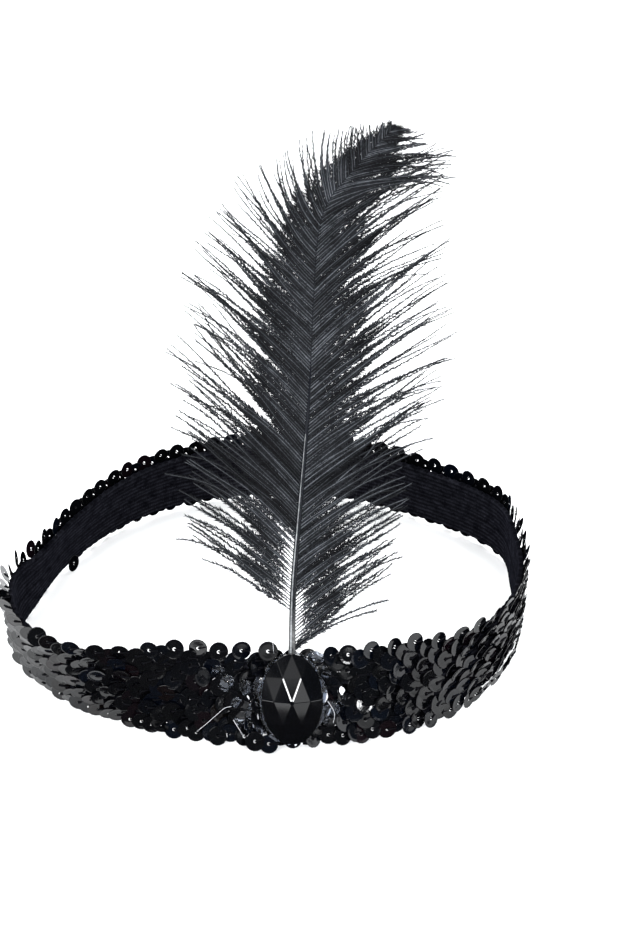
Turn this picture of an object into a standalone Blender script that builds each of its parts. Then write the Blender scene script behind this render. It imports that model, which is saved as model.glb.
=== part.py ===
"""Flapper headband: a standing loop of sequinned stretch trim, with an oval stone glued to its
front and an ostrich plume whose quill is held behind the stone. Metres, +Z up, the front faces -Y."""

import math
from collections import namedtuple

import bmesh
import bpy
from mathutils import Matrix, Vector

# Clearance between pieces that touch on the real object, and how near points count as one
GAP = 0.0003
MERGE = 0.000001

# Loop of trim, measured round its foot
LOOP_WIDTH = 0.187
LOOP_DEPTH = 0.1475
TRIM_WIDTH = 0.033
PLAN_SAMPLES = 720

# Foot of the loop, counter-clockwise from the stone. Across and along are shares of half the
# loop's width and depth, and lean is how far the wall tips inwards there, in degrees
Station = namedtuple("Station", "across along lean")
LOOP_STATIONS = [
    Station(0.10, -1.00, 29),
    Station(0.42, -0.94, 24),
    Station(0.69, -0.78, 10),
    Station(0.87, -0.54, 2),
    Station(0.97, -0.22, 0),
    Station(0.99, 0.10, 2),
    Station(0.98, 0.36, 6),
    Station(0.86, 0.57, 8),
    Station(0.62, 0.78, 8),
    Station(0.36, 0.94, 8),
    Station(-0.02, 1.00, 8),
    Station(-0.42, 0.88, 10),
    Station(-0.68, 0.64, 12),
    Station(-0.86, 0.32, 15),
    Station(-0.94, 0.02, 12),
    Station(-0.97, -0.28, 0),
    Station(-0.84, -0.57, -9),
    Station(-0.60, -0.79, -4),
    Station(-0.27, -0.95, 24),
]

# Knitted elastic, the inner wall of the trim
ELASTIC_WIDTH = 0.0254
ELASTIC_THICKNESS = 0.0016
ELASTIC_COLUMNS = 120
RIB_GROOVE_WIDTH = 0.003
RIB_GROOVE_DEPTH = 0.0004

# Sequins, sewn on in rows that overlap like scales
SEQUIN_PITCH = 0.0064
SEQUIN_ROWS = 6
SEQUIN_BED = 0.0009
SEQUIN_TILT_RISE = 0.0007
SCALLOP_DEPTH = 0.0013
COLUMNS_PER_SEQUIN = 3

# Faceted oval stone with a flat back
STONE_WIDTH = 0.020
STONE_HEIGHT = 0.030
STONE_THICKNESS = 0.0068
STONE_RAISE = 0.0010
GIRDLE_THICKNESS = 0.0014
GIRDLE_SIDES = 48
STAR_RADIUS = 0.60
STAR_RISE = 0.56
TABLE_RADIUS = 0.06
STAR_POINTS = 6

# Pad of clear glue under the stone
PAD_MARGIN = 0.0011
PAD_THICKNESS = 0.0026
PAD_RIPPLE = 0.0005
PAD_LOBES = 9
PAD_POINTS = 54

# Plume: along is a share of its height above the stone, across and forward are shares of it too
PLUME_HEIGHT = 0.168
PLUME_SAMPLES = 48
ShaftStation = namedtuple("ShaftStation", "along across forward")
SHAFT_STATIONS = [
    ShaftStation(0.00, 0.000, 0.000),
    ShaftStation(0.13, 0.004, 0.000),
    ShaftStation(0.29, 0.018, -0.006),
    ShaftStation(0.50, 0.037, -0.020),
    ShaftStation(0.69, 0.047, -0.028),
    ShaftStation(0.80, 0.055, -0.022),
    ShaftStation(0.87, 0.075, -0.010),
    ShaftStation(0.93, 0.125, 0.012),
    ShaftStation(0.97, 0.165, 0.038),
    ShaftStation(1.00, 0.200, 0.075),
]
QUILL_RADIUS = 0.0012
QUILL_TIP_RADIUS = 0.0003
QUILL_TAPER = 0.8
QUILL_TUCK = 0.008

# Vanes: locks of barbs that grow from both sides of the shaft. Start is where the side's first
# barbs grow, as a share of the shaft
VaneSide = namedtuple("VaneSide", "name hand column start")
VANE_SIDES = [
    VaneSide("feather_vane_left", -1, "left", 0.075),
    VaneSide("feather_vane_right", 1, "right", 0.015),
]
VANE_END = 0.985
VANE_THICKNESS = 0.0009
LOCKS_PER_SIDE = 21
LOCK_STEPS = 8
NOTCH_STEP = 4
LOCK_SPREAD = 0.006
LOCK_TURN = 2.4

# Barbs along the shaft: left and right are their lengths there as shares of the longest, and
# they turn from the angle that they leave at to the one that they end at, in degrees
BARB_LENGTH = 0.058
BarbStation = namedtuple("BarbStation", "along left right leave end")
BARB_STATIONS = [
    BarbStation(0.00, 0.62, 0.60, 54, 72),
    BarbStation(0.12, 0.76, 0.74, 44, 78),
    BarbStation(0.33, 1.00, 0.84, 44, 84),
    BarbStation(0.47, 0.88, 0.90, 46, 80),
    BarbStation(0.62, 0.80, 0.80, 44, 78),
    BarbStation(0.74, 0.66, 0.76, 40, 76),
    BarbStation(0.82, 0.48, 0.74, 38, 70),
    BarbStation(0.90, 0.28, 0.52, 30, 60),
    BarbStation(1.00, 0.10, 0.16, 14, 30),
]

Finish = namedtuple("Finish", "colour roughness metallic")
FINISHES = {
    "elastic": Finish((0.012, 0.012, 0.016), 0.95, 0.0),
    "sequins": Finish((0.014, 0.014, 0.017), 0.18, 0.0),
    "glue": Finish((0.75, 0.77, 0.80), 0.15, 0.0),
    "stone": Finish((0.008, 0.008, 0.010), 0.05, 0.0),
    "quill": Finish((0.06, 0.06, 0.065), 0.40, 0.0),
    "barbs": Finish((0.018, 0.019, 0.023), 0.75, 0.0),
}


def clear_scene():
    for thing in list(bpy.data.objects):
        bpy.data.objects.remove(thing)


def new_collection(name):
    collection = bpy.data.collections.new(name)
    bpy.context.scene.collection.children.link(collection)
    return collection


def finish_material(name):
    finish = FINISHES[name]
    material = bpy.data.materials.new(name)
    material.use_nodes = True
    shader = material.node_tree.nodes["Principled BSDF"]
    shader.inputs["Base Color"].default_value = (*finish.colour, 1.0)
    shader.inputs["Roughness"].default_value = finish.roughness
    shader.inputs["Metallic"].default_value = finish.metallic
    return material


def add_object(name, data, collection, material=None):
    thing = bpy.data.objects.new(name, data)
    collection.objects.link(thing)
    if material:
        data.materials.append(material)
    return thing


def mesh_of(name, bm):
    bmesh.ops.recalc_face_normals(bm, faces=bm.faces)
    mesh = bpy.data.meshes.new(name)
    bm.to_mesh(mesh)
    bm.free()
    return mesh


def blend_rows(before, start, end, after, share):
    """Catmull-Rom value between start and end, for numbers or vectors."""
    square = share * share
    cube = square * share
    return 0.5 * (
        2 * start
        + (end - before) * share
        + (2 * before - 5 * start + 4 * end - after) * square
        + (3 * start - before - 3 * end + after) * cube
    )


def table_value(rows, column, along):
    """One column of a table at a place between its rows, on a straight line from row to row."""
    for low, high in zip(rows, rows[1:]):
        if along <= high.along:
            break
    share = (along - low.along) / (high.along - low.along)
    share = min(max(share, 0.0), 1.0)
    return getattr(low, column) * (1 - share) + getattr(high, column) * share


# The standing wall of trim

Wall = namedtuple("Wall", "foot side up face")


def plan_points():
    """The foot's plan as closely spaced rows of x, y and lean in degrees."""
    rows = [
        Vector((s.across * LOOP_WIDTH / 2, s.along * LOOP_DEPTH / 2, s.lean))
        for s in LOOP_STATIONS
    ]
    count = len(rows)
    per_station = PLAN_SAMPLES // count
    points = []
    for index in range(count):
        near = [rows[(index + step) % count] for step in (-1, 0, 1, 2)]
        points += [blend_rows(*near, part / per_station) for part in range(per_station)]
    return points


def even_rows(points, count):
    """Rows at equal distances round the closed plan, the first at the stone."""
    ends = points[1:] + points[:1]
    lengths = [(b.xy - a.xy).length for a, b in zip(points, ends)]
    total = sum(lengths)
    rows = []
    passed = 0.0
    for start, end, length in zip(points, ends, lengths):
        while len(rows) < count and len(rows) * total / count < passed + length:
            rows.append(start.lerp(end, (len(rows) * total / count - passed) / length))
        passed += length
    return rows


def loop_length():
    points = plan_points()
    return sum((b.xy - a.xy).length for a, b in zip(points, points[1:] + points[:1]))


def loop_walls(count):
    """Frames of the wall at equal distances round the loop."""
    rows = even_rows(plan_points(), count)
    walls = []
    for index, row in enumerate(rows):
        ahead = rows[(index + 1) % count]
        behind = rows[index - 1]
        side = Vector((ahead.x - behind.x, ahead.y - behind.y, 0)).normalized()
        out = Vector((side.y, -side.x, 0))
        lean = math.radians(row.z)
        up = Vector((0, 0, math.cos(lean))) - out * math.sin(lean)
        face = out * math.cos(lean) + Vector((0, 0, math.sin(lean)))
        walls.append(Wall(Vector((row.x, row.y, 0)), side, up, face))
    return walls


def on_wall(wall, height, depth):
    """A point on the wall: height up its slope, depth outwards from the elastic's outer face."""
    return wall.foot + wall.up * height + wall.face * depth


def foot_height(wall, depth, rise):
    """How far up the slope a point at this depth stands at this rise above the floor."""
    return (rise - depth * wall.face.z) / wall.up.z


def ring_mesh(name, sections):
    """A closed ring through its sections, each a closed outline with as many points."""
    bm = bmesh.new()
    rings = [[bm.verts.new(point) for point in section] for section in sections]
    for ring, following in zip(rings, rings[1:] + rings[:1]):
        for corner in range(len(ring)):
            beside = (corner + 1) % len(ring)
            bm.faces.new((ring[corner], following[corner], following[beside], ring[beside]))
    return mesh_of(name, bm)


def elastic_section(wall):
    margin = (TRIM_WIDTH - ELASTIC_WIDTH) / 2
    top = TRIM_WIDTH - margin
    middle = TRIM_WIDTH / 2
    inner = -ELASTIC_THICKNESS
    outline = [
        (foot_height(wall, 0, margin), 0),
        (top, 0),
        (top, inner),
        (middle + RIB_GROOVE_WIDTH / 2, inner),
        (middle, inner + RIB_GROOVE_DEPTH),
        (middle - RIB_GROOVE_WIDTH / 2, inner),
        (foot_height(wall, inner, margin), inner),
    ]
    return [on_wall(wall, height, depth) for height, depth in outline]


def build_elastic(parts):
    sections = [elastic_section(wall) for wall in loop_walls(ELASTIC_COLUMNS)]
    mesh = ring_mesh("elastic_band", sections)
    return add_object("elastic_band", mesh, parts, finish_material("elastic"))


def facing_section(wall, column):
    """Two edges with a scallop for each sequin, and an outer face that steps like scales."""
    phase = column % COLUMNS_PER_SEQUIN
    notch = SCALLOP_DEPTH if phase == COLUMNS_PER_SEQUIN - 1 else 0.0
    top = TRIM_WIDTH - notch
    section = [
        on_wall(wall, foot_height(wall, GAP, notch), GAP),
        on_wall(wall, top, GAP),
    ]
    for row in range(SEQUIN_ROWS, -1, -1):
        tilt = (column + row) % COLUMNS_PER_SEQUIN / (COLUMNS_PER_SEQUIN - 1)
        depth = GAP + SEQUIN_BED + SEQUIN_TILT_RISE * tilt
        floor = foot_height(wall, depth, notch)
        section.append(on_wall(wall, floor + (top - floor) * row / SEQUIN_ROWS, depth))
    return section


def build_facing(parts):
    sequins = round(loop_length() / SEQUIN_PITCH)
    walls = loop_walls(sequins * COLUMNS_PER_SEQUIN)
    sections = [facing_section(wall, column) for column, wall in enumerate(walls)]
    mesh = ring_mesh("sequin_facing", sections)
    return add_object("sequin_facing", mesh, parts, finish_material("sequins"))


# The ornament at the front. Its own axes are across, up the slope and outwards

PAD_DEPTH = GAP + SEQUIN_BED + SEQUIN_TILT_RISE + GAP
QUILL_DEPTH = PAD_DEPTH + PAD_THICKNESS / 2
STONE_DEPTH = PAD_DEPTH + PAD_THICKNESS + GAP
STONE_MIDDLE = TRIM_WIDTH / 2 + STONE_RAISE
STONE_TOP = STONE_MIDDLE + STONE_HEIGHT / 2


def front_wall():
    return loop_walls(ELASTIC_COLUMNS)[0]


def ornament_matrix(wall, height, depth):
    """Places something on the wall's front, its X across, its Y up the slope, its Z outwards."""
    turn = Matrix((wall.side, wall.up, wall.face)).transposed().to_4x4()
    return Matrix.Translation(on_wall(wall, height, depth)) @ turn


def oval(share, angle, height):
    """A point of the stone at this share of its half width and height."""
    return Vector(
        (
            share * STONE_WIDTH / 2 * math.cos(angle),
            share * STONE_HEIGHT / 2 * math.sin(angle),
            height,
        )
    )


def stone_facets():
    """Each facet as three points of its plane: the table, and six sectors of a star cut."""
    crown = STONE_THICKNESS - GIRDLE_THICKNESS
    star_height = GIRDLE_THICKNESS + crown * STAR_RISE
    step = 2 * math.pi / STAR_POINTS
    facets = []
    for sector in range(STAR_POINTS):
        angle = sector * step
        tip = oval(0, 0, STONE_THICKNESS)
        star = oval(STAR_RADIUS, angle, star_height)
        next_star = oval(STAR_RADIUS, angle + step, star_height)
        behind = oval(1, angle - step / 2, GIRDLE_THICKNESS)
        middle = oval(1, angle, GIRDLE_THICKNESS)
        ahead = oval(1, angle + step / 2, GIRDLE_THICKNESS)
        facets += [
            (tip, star, next_star),
            (star, behind, middle),
            (star, middle, ahead),
            (star, ahead, next_star),
        ]
    level = STONE_THICKNESS - TABLE_RADIUS * (STONE_THICKNESS - star_height) / STAR_RADIUS
    facets.append((Vector((0, 0, level)), Vector((1, 0, level)), Vector((0, 1, level))))
    return facets


def build_stone(parts, wall):
    """An oval prism, cut down by one plane for each facet."""
    bm = bmesh.new()
    bmesh.ops.create_cone(
        bm,
        cap_ends=True,
        segments=GIRDLE_SIDES,
        radius1=1,
        radius2=1,
        depth=STONE_THICKNESS,
        matrix=Matrix.Translation((0, 0, STONE_THICKNESS / 2)),
    )
    bmesh.ops.scale(bm, vec=(STONE_WIDTH / 2, STONE_HEIGHT / 2, 1), verts=bm.verts)
    for first, second, third in stone_facets():
        normal = (second - first).cross(third - first).normalized()
        whole = bm.verts[:] + bm.edges[:] + bm.faces[:]
        cut = bmesh.ops.bisect_plane(
            bm, geom=whole, plane_co=first, plane_no=normal, clear_outer=True, dist=MERGE / 10
        )
        rim = [e for e in cut["geom_cut"] if isinstance(e, bmesh.types.BMEdge)]
        if rim:
            bmesh.ops.holes_fill(bm, edges=rim, sides=0)
    bmesh.ops.remove_doubles(bm, verts=bm.verts, dist=MERGE)
    mesh = mesh_of("oval_stone", bm)
    stone = add_object("oval_stone", mesh, parts, finish_material("stone"))
    stone.matrix_world = ornament_matrix(wall, STONE_MIDDLE, STONE_DEPTH)
    return stone


def pad_outline():
    """The squeezed-out edge of the glue: the stone's oval, a little wider, with soft lobes."""
    points = []
    for index in range(PAD_POINTS):
        angle = 2 * math.pi * index / PAD_POINTS
        spread = PAD_MARGIN + PAD_RIPPLE * math.sin(PAD_LOBES * angle)
        across = (STONE_WIDTH / 2 + spread) * math.cos(angle)
        upwards = (STONE_HEIGHT / 2 - PAD_MARGIN + spread) * math.sin(angle)
        points.append((across, upwards))
    return points


def evaluated_mesh(thing):
    graph = bpy.context.evaluated_depsgraph_get()
    mesh = bpy.data.meshes.new_from_object(thing.evaluated_get(graph))
    bm = bmesh.new()
    bm.from_mesh(mesh)
    bmesh.ops.remove_doubles(bm, verts=bm.verts, dist=MERGE)
    bmesh.ops.recalc_face_normals(bm, faces=bm.faces)
    bm.to_mesh(mesh)
    bm.free()
    return mesh


def build_pad(parts, cutters, wall):
    """A flat pad of glue with a slot at its top, where the end of the quill lies."""
    flat = bpy.data.curves.new("pad_outline", "CURVE")
    flat.dimensions = "2D"
    flat.fill_mode = "BOTH"
    flat.extrude = PAD_THICKNESS / 2
    outline = pad_outline()
    spline = flat.splines.new("POLY")
    spline.points.add(len(outline) - 1)
    for point, (across, upwards) in zip(spline.points, outline):
        point.co = (across, upwards, 0, 1)
    spline.use_cyclic_u = True
    blank = add_object("pad_outline", flat, parts)
    pad = add_object("glue_pad", evaluated_mesh(blank), parts, finish_material("glue"))
    bpy.data.objects.remove(blank)
    pad.matrix_world = ornament_matrix(wall, STONE_MIDDLE, QUILL_DEPTH)

    slot_foot = STONE_TOP - QUILL_TUCK - GAP - STONE_MIDDLE
    slot_half_width = QUILL_RADIUS + GAP
    slot_mesh = bpy.data.meshes.new("quill_slot")
    bm = bmesh.new()
    bmesh.ops.create_cube(bm, size=2)
    bmesh.ops.scale(bm, vec=(slot_half_width, STONE_HEIGHT / 2, PAD_THICKNESS), verts=bm.verts)
    bmesh.ops.translate(bm, vec=(0, slot_foot + STONE_HEIGHT / 2, 0), verts=bm.verts)
    bm.to_mesh(slot_mesh)
    bm.free()
    slot = add_object("quill_slot", slot_mesh, cutters)
    slot.matrix_world = pad.matrix_world
    slot.hide_render = True
    slot.display_type = "WIRE"
    cut = pad.modifiers.new("quill_slot", "BOOLEAN")
    cut.operation = "DIFFERENCE"
    cut.object = slot
    return pad


# The plume. Along the shaft, a share of 0 is at the stone's top and 1 at the tip


def shaft_points(wall, count):
    """Evenly shared points from the stone's top to the tip of the shaft."""
    rows = [Vector((s.across, s.along, s.forward)) * PLUME_HEIGHT for s in SHAFT_STATIONS]
    rows = [2 * rows[0] - rows[1]] + rows + [2 * rows[-1] - rows[-2]]
    place = ornament_matrix(wall, STONE_TOP, QUILL_DEPTH)
    spans = len(rows) - 3
    points = []
    for index in range(count + 1):
        whole = index * spans / count
        span = min(int(whole), spans - 1)
        points.append(place @ blend_rows(*rows[span : span + 4], whole - span))
    return points


def even_points(points, count):
    """Points at equal distances along an open line."""
    lengths = [(b - a).length for a, b in zip(points, points[1:])]
    total = sum(lengths)
    evened = []
    passed = 0.0
    for start, end, length in zip(points, points[1:], lengths):
        while len(evened) < count and len(evened) * total / count <= passed + length:
            evened.append(start.lerp(end, (len(evened) * total / count - passed) / length))
        passed += length
    return evened + [points[-1]]


def quill_radius(share):
    return QUILL_RADIUS + (QUILL_TIP_RADIUS - QUILL_RADIUS) * share**QUILL_TAPER


def build_quill(parts, wall, shaft):
    """The bare shaft: a tapered rod, its lower end tucked behind the stone."""
    curve = bpy.data.curves.new("feather_quill", "CURVE")
    curve.dimensions = "3D"
    curve.bevel_depth = 1
    curve.bevel_resolution = 2
    curve.use_fill_caps = True
    tucked = shaft[0] - wall.up * QUILL_TUCK
    points = [tucked] + shaft
    spline = curve.splines.new("POLY")
    spline.points.add(len(points) - 1)
    for index, (point, place) in enumerate(zip(spline.points, points)):
        point.co = (*place, 1)
        point.radius = quill_radius(max(index - 1, 0) / (len(points) - 2))
    return add_object("feather_quill", curve, parts, finish_material("quill"))


def shaft_frame(shaft, share, face):
    """Place, direction, sideways direction and front direction at a share of the shaft."""
    whole = share * (len(shaft) - 1)
    index = min(int(whole), len(shaft) - 2)
    place = shaft[index].lerp(shaft[index + 1], whole - index)
    before = shaft[max(index - 1, 0)]
    after = shaft[min(index + 2, len(shaft) - 1)]
    along = (after - before).normalized()
    sideways = along.cross(face).normalized()
    return place, along, sideways, sideways.cross(along)


def barb_path(shaft, face, side, share):
    """Points of one barb from the shaft to its tip, as it turns from leave to end."""
    hand = side.hand
    place, along, sideways, front = shaft_frame(shaft, share, face)
    length = BARB_LENGTH * table_value(BARB_STATIONS, side.column, share)
    leave = math.radians(table_value(BARB_STATIONS, "leave", share))
    end = math.radians(table_value(BARB_STATIONS, "end", share))
    point = place + sideways * hand * (quill_radius(share) + GAP)
    path = [(point, front)]
    for step in range(LOCK_STEPS):
        angle = leave + (end - leave) * (step + 0.5) / LOCK_STEPS
        heading = along * math.cos(angle) + sideways * hand * math.sin(angle)
        point = point + heading * length / LOCK_STEPS
        path.append((point, front))
    return path


def lock_edges(seam, next_seam, middle, number):
    """The two edges of one lock past its notch, closing on its tip and swung out of the vane."""
    swing = math.sin(number * LOCK_TURN)
    edges = ([], [])
    for step in range(NOTCH_STEP + 1, LOCK_STEPS + 1):
        share = (step - NOTCH_STEP) / (LOCK_STEPS - NOTCH_STEP)
        centre, front = middle[step]
        offset = front * swing * LOCK_SPREAD * share * share
        for edge, side in zip(edges, (seam, next_seam)):
            edge.append((side[step][0].lerp(centre, share * share) + offset, front))
    return edges


def vane_mesh(side, shaft, face):
    """One side of the plume: a thin sheet by the shaft that parts into pointed locks."""
    bm = bmesh.new()

    def layers(place):
        point, front = place
        half = front * VANE_THICKNESS / 2
        return bm.verts.new(point + half), bm.verts.new(point - half)

    def wall_between(near, far):
        bm.faces.new((near[0], near[1], far[1], far[0]))

    def skins(corners):
        bm.faces.new([corner[0] for corner in corners])
        bm.faces.new([corner[1] for corner in reversed(corners)])

    reach = VANE_END - side.start
    shares = [side.start + reach * k / LOCKS_PER_SIDE for k in range(LOCKS_PER_SIDE + 1)]
    seams = [barb_path(shaft, face, side, share) for share in shares]
    roots = [[layers(place) for place in seam[: NOTCH_STEP + 1]] for seam in seams]
    for number in range(LOCKS_PER_SIDE):
        middle = barb_path(shaft, face, side, (shares[number] + shares[number + 1]) / 2)
        lower_free, upper_free = lock_edges(seams[number], seams[number + 1], middle, number)
        tip = layers(lower_free[-1])
        lower = roots[number] + [layers(place) for place in lower_free[:-1]] + [tip]
        upper = roots[number + 1] + [layers(place) for place in upper_free[:-1]] + [tip]
        for step in range(LOCK_STEPS - 1):
            skins((lower[step], lower[step + 1], upper[step + 1], upper[step]))
        skins((lower[-2], tip, upper[-2]))
        wall_between(lower[0], upper[0])
        lower_start = 0 if number == 0 else NOTCH_STEP
        upper_start = 0 if number == LOCKS_PER_SIDE - 1 else NOTCH_STEP
        for step in range(lower_start, LOCK_STEPS):
            wall_between(lower[step], lower[step + 1])
        for step in range(upper_start, LOCK_STEPS):
            wall_between(upper[step], upper[step + 1])
    return mesh_of(side.name, bm)


def build_vanes(parts, wall, shaft):
    material = finish_material("barbs")
    vanes = []
    for side in VANE_SIDES:
        mesh = vane_mesh(side, shaft, wall.face)
        vanes.append(add_object(side.name, mesh, parts, material))
    return vanes


def stand_on_origin(pieces, parts):
    """Carries all pieces on one empty, moved so that their box stands centred on the origin."""
    bpy.context.view_layer.update()
    graph = bpy.context.evaluated_depsgraph_get()
    corners = []
    for piece in pieces:
        solid = piece.evaluated_get(graph)
        mesh = solid.to_mesh()
        corners += [solid.matrix_world @ vertex.co for vertex in mesh.vertices]
        solid.to_mesh_clear()
    lowest = Vector(min(c[axis] for c in corners) for axis in range(3))
    highest = Vector(max(c[axis] for c in corners) for axis in range(3))
    middle = (lowest + highest) / 2
    stand = bpy.data.objects.new("headband", None)
    parts.objects.link(stand)
    for piece in pieces:
        piece.parent = stand
    stand.location = (-middle.x, -middle.y, -lowest.z)


def build_headband():
    clear_scene()
    parts = new_collection("flapper_headband")
    cutters = new_collection("cutters")
    wall = front_wall()
    shaft = even_points(shaft_points(wall, PLUME_SAMPLES * 4), PLUME_SAMPLES)
    pieces = [
        build_elastic(parts),
        build_facing(parts),
        build_pad(parts, cutters, wall),
        build_stone(parts, wall),
        build_quill(parts, wall, shaft),
        *build_vanes(parts, wall, shaft),
    ]
    stand_on_origin(pieces + list(cutters.objects), parts)


build_headband()
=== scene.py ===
import math
import random
from collections import namedtuple

import bmesh
import bpy
from mathutils import Matrix, Vector, noise


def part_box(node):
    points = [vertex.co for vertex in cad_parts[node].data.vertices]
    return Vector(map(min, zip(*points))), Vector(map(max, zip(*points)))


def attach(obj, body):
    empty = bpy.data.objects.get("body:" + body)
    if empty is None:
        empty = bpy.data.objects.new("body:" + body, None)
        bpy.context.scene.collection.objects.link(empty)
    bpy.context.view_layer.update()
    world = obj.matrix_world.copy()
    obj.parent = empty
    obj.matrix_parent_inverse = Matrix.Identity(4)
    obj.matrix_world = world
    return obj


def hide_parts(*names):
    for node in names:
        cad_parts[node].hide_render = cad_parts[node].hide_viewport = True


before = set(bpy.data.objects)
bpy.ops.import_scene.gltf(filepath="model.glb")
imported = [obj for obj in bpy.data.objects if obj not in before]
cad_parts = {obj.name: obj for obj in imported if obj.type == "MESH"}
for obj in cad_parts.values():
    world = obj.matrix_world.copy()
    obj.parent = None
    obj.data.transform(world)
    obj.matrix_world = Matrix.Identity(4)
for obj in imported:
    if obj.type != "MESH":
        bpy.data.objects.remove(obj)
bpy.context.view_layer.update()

# The table and the light. The headband stands on a round pale table before a white wall, under wide
# soft panels. On the camera's side its gloss finds only small or weak ones, so the front stays dark.
# The camera looks down along +Y at the angle that the photograph was taken from.
PICTURE_HEIGHT = 931
FOCAL_PIXELS = 1400
SENSOR_SIZE = 36
CAMERA_PITCH = math.radians(33)
CAMERA_PLACE = (0.01446, -0.41138, 0.3316)
NEAREST_SIGHT = 0.01
FARTHEST_SIGHT = 40
TABLE_REACH = 1.1
TABLE_SIDES = 96
TABLE_DROP = 0.0001
TABLE_COLOUR = (0.93, 0.93, 0.925)
TABLE_ROUGHNESS = 0.6
AIM = Vector((0.0, 0.0, 0.05))
WORLD_COLOUR = (0.80, 0.88, 1.0, 1.0)
WORLD_STRENGTH = 0.07
WALL_COLOUR = (1.0, 1.0, 1.0, 1.0)
LAMP_COLOUR = (0.97, 0.985, 1.0)


def add_object(name, data, material=None):
    """Puts a mesh, lamp or camera in the scene."""
    made = bpy.data.objects.new(name, data)
    bpy.context.scene.collection.objects.link(made)
    if material:
        data.materials.clear()
        data.materials.append(material)
    return made


eye = bpy.data.cameras.new("camera")
eye.sensor_fit = "VERTICAL"
eye.sensor_height = SENSOR_SIZE
eye.lens = FOCAL_PIXELS / PICTURE_HEIGHT * SENSOR_SIZE
eye.clip_start = NEAREST_SIGHT
eye.clip_end = FARTHEST_SIGHT
camera = add_object("camera", eye)
camera.location = CAMERA_PLACE
camera.rotation_euler = (math.pi / 2 - CAMERA_PITCH, 0, 0)
bpy.context.scene.camera = camera


def new_material(name, roughness, specular=0.5):
    material = bpy.data.materials.new(name)
    material.use_nodes = True
    shader = material.node_tree.nodes["Principled BSDF"]
    shader.inputs["Roughness"].default_value = roughness
    shader.inputs["Specular IOR Level"].default_value = specular
    return material, material.node_tree, shader


def plain_material(name, colour, roughness):
    material, _, shader = new_material(name, roughness)
    shader.inputs["Base Color"].default_value = (*colour, 1)
    return material


def keep_mesh(bm, name):
    """The edited mesh as a plain one."""
    mesh = bpy.data.meshes.new(name)
    bm.to_mesh(mesh)
    bm.free()
    return mesh


def lay_table():
    bm = bmesh.new()
    bmesh.ops.create_circle(bm, cap_ends=True, segments=TABLE_SIDES, radius=TABLE_REACH)
    bmesh.ops.translate(bm, vec=(0, 0, -TABLE_DROP), verts=bm.verts)
    pale = plain_material("table_top", TABLE_COLOUR, TABLE_ROUGHNESS)
    add_object("table_top", keep_mesh(bm, "table_top"), pale)


def rows_of(kind, rows):
    """A table's rows with their columns named."""
    return [kind(*row) for row in rows]


# Lamps: where each one hangs, its width and height, its power, and whether gloss mirrors it
Panel = namedtuple("Panel", "name place size watts in_gloss")
PANELS = rows_of(Panel, [
    ("overhead_panel", (0.0, 0.35, 1.50), (2.4, 1.7), 60, True),
    ("left_panel", (-1.35, 0.60, 0.62), (2.1, 1.1), 20, True),
    ("right_panel", (1.35, 0.60, 0.62), (2.1, 1.1), 13, True),
    ("back_panel", (0.0, 1.95, 0.75), (2.6, 1.1), 12, True),
    ("front_panel", (0.0, -0.95, 1.45), (2.2, 0.5), 2.9, True),
    ("left_card", (-0.97, -0.74, 0.47), (0.34, 0.28), 0.11, True),
    ("right_card", (0.87, -0.83, 0.49), (0.13, 0.15), 0.105, True),
    ("left_spot", (-0.49, -1.058, 0.88), (0.15, 0.15), 2.6, True),
    ("right_spot", (0.53, -1.047, 0.88), (0.15, 0.15), 2.6, True),
    ("low_left_card", (-1.20, -0.42, 0.42), (0.9, 0.6), 0.85, True),
    ("high_left_card", (-0.78, -0.66, 1.25), (0.6, 0.6), 1.10, True),
    ("high_right_card", (0.72, -0.66, 1.25), (0.5, 0.5), 0.20, True),
    ("fill_panel", (0.0, -1.60, 1.10), (3.0, 1.5), 75, False),
])


def hang_panel(panel):
    lamp = bpy.data.lights.new(panel.name, "AREA")
    lamp.shape = "RECTANGLE"
    lamp.size, lamp.size_y = panel.size
    lamp.energy = panel.watts
    lamp.color = LAMP_COLOUR
    light = add_object(panel.name, lamp)
    light.location = panel.place
    light.rotation_euler = (AIM - Vector(panel.place)).to_track_quat("-Z", "Y").to_euler()
    light.visible_glossy = panel.in_gloss


# Cards on the table, which only gloss sees. The black one is a painted shadow: it stands for the
# shaded table in front, and keeps the pale table out of the stone and the front's discs. The grey
# ones dim the table that the flanks' discs mirror, and give them their shades
Card = namedtuple("Card", "name left right front back shade")
CARDS = rows_of(Card, [
    ("black_card", -0.085, 0.090, -1.30, -0.068, 0.003),
    ("left_grey_card", -0.16, -0.0852, -1.30, 0.12, 0.72),
    ("far_left_card", -0.70, -0.1602, -1.30, 0.12, 0.92),
    ("near_left_card", -0.0850, -0.030, -0.0678, 0.12, 0.60),
    ("right_grey_card", 0.0902, 0.16, -1.30, 0.12, 0.47),
    ("far_right_card", 0.1602, 0.70, -1.30, 0.12, 0.66),
    ("near_right_card", 0.050, 0.0900, -0.0678, 0.12, 0.47),
])
CARD_LIFT = 0.0004


def lay_card(card):
    bm = bmesh.new()
    near = [(card.left, card.front), (card.right, card.front)]
    far = [(card.right, card.back), (card.left, card.back)]
    bm.faces.new([bm.verts.new((x, y, CARD_LIFT)) for x, y in near + far])
    grey = plain_material(card.name, (card.shade,) * 3, 1.0)
    flat = add_object(card.name, keep_mesh(bm, card.name), grey)
    flat.visible_camera = False
    flat.visible_diffuse = False
    flat.visible_shadow = False
    flat.visible_transmission = False


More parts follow.
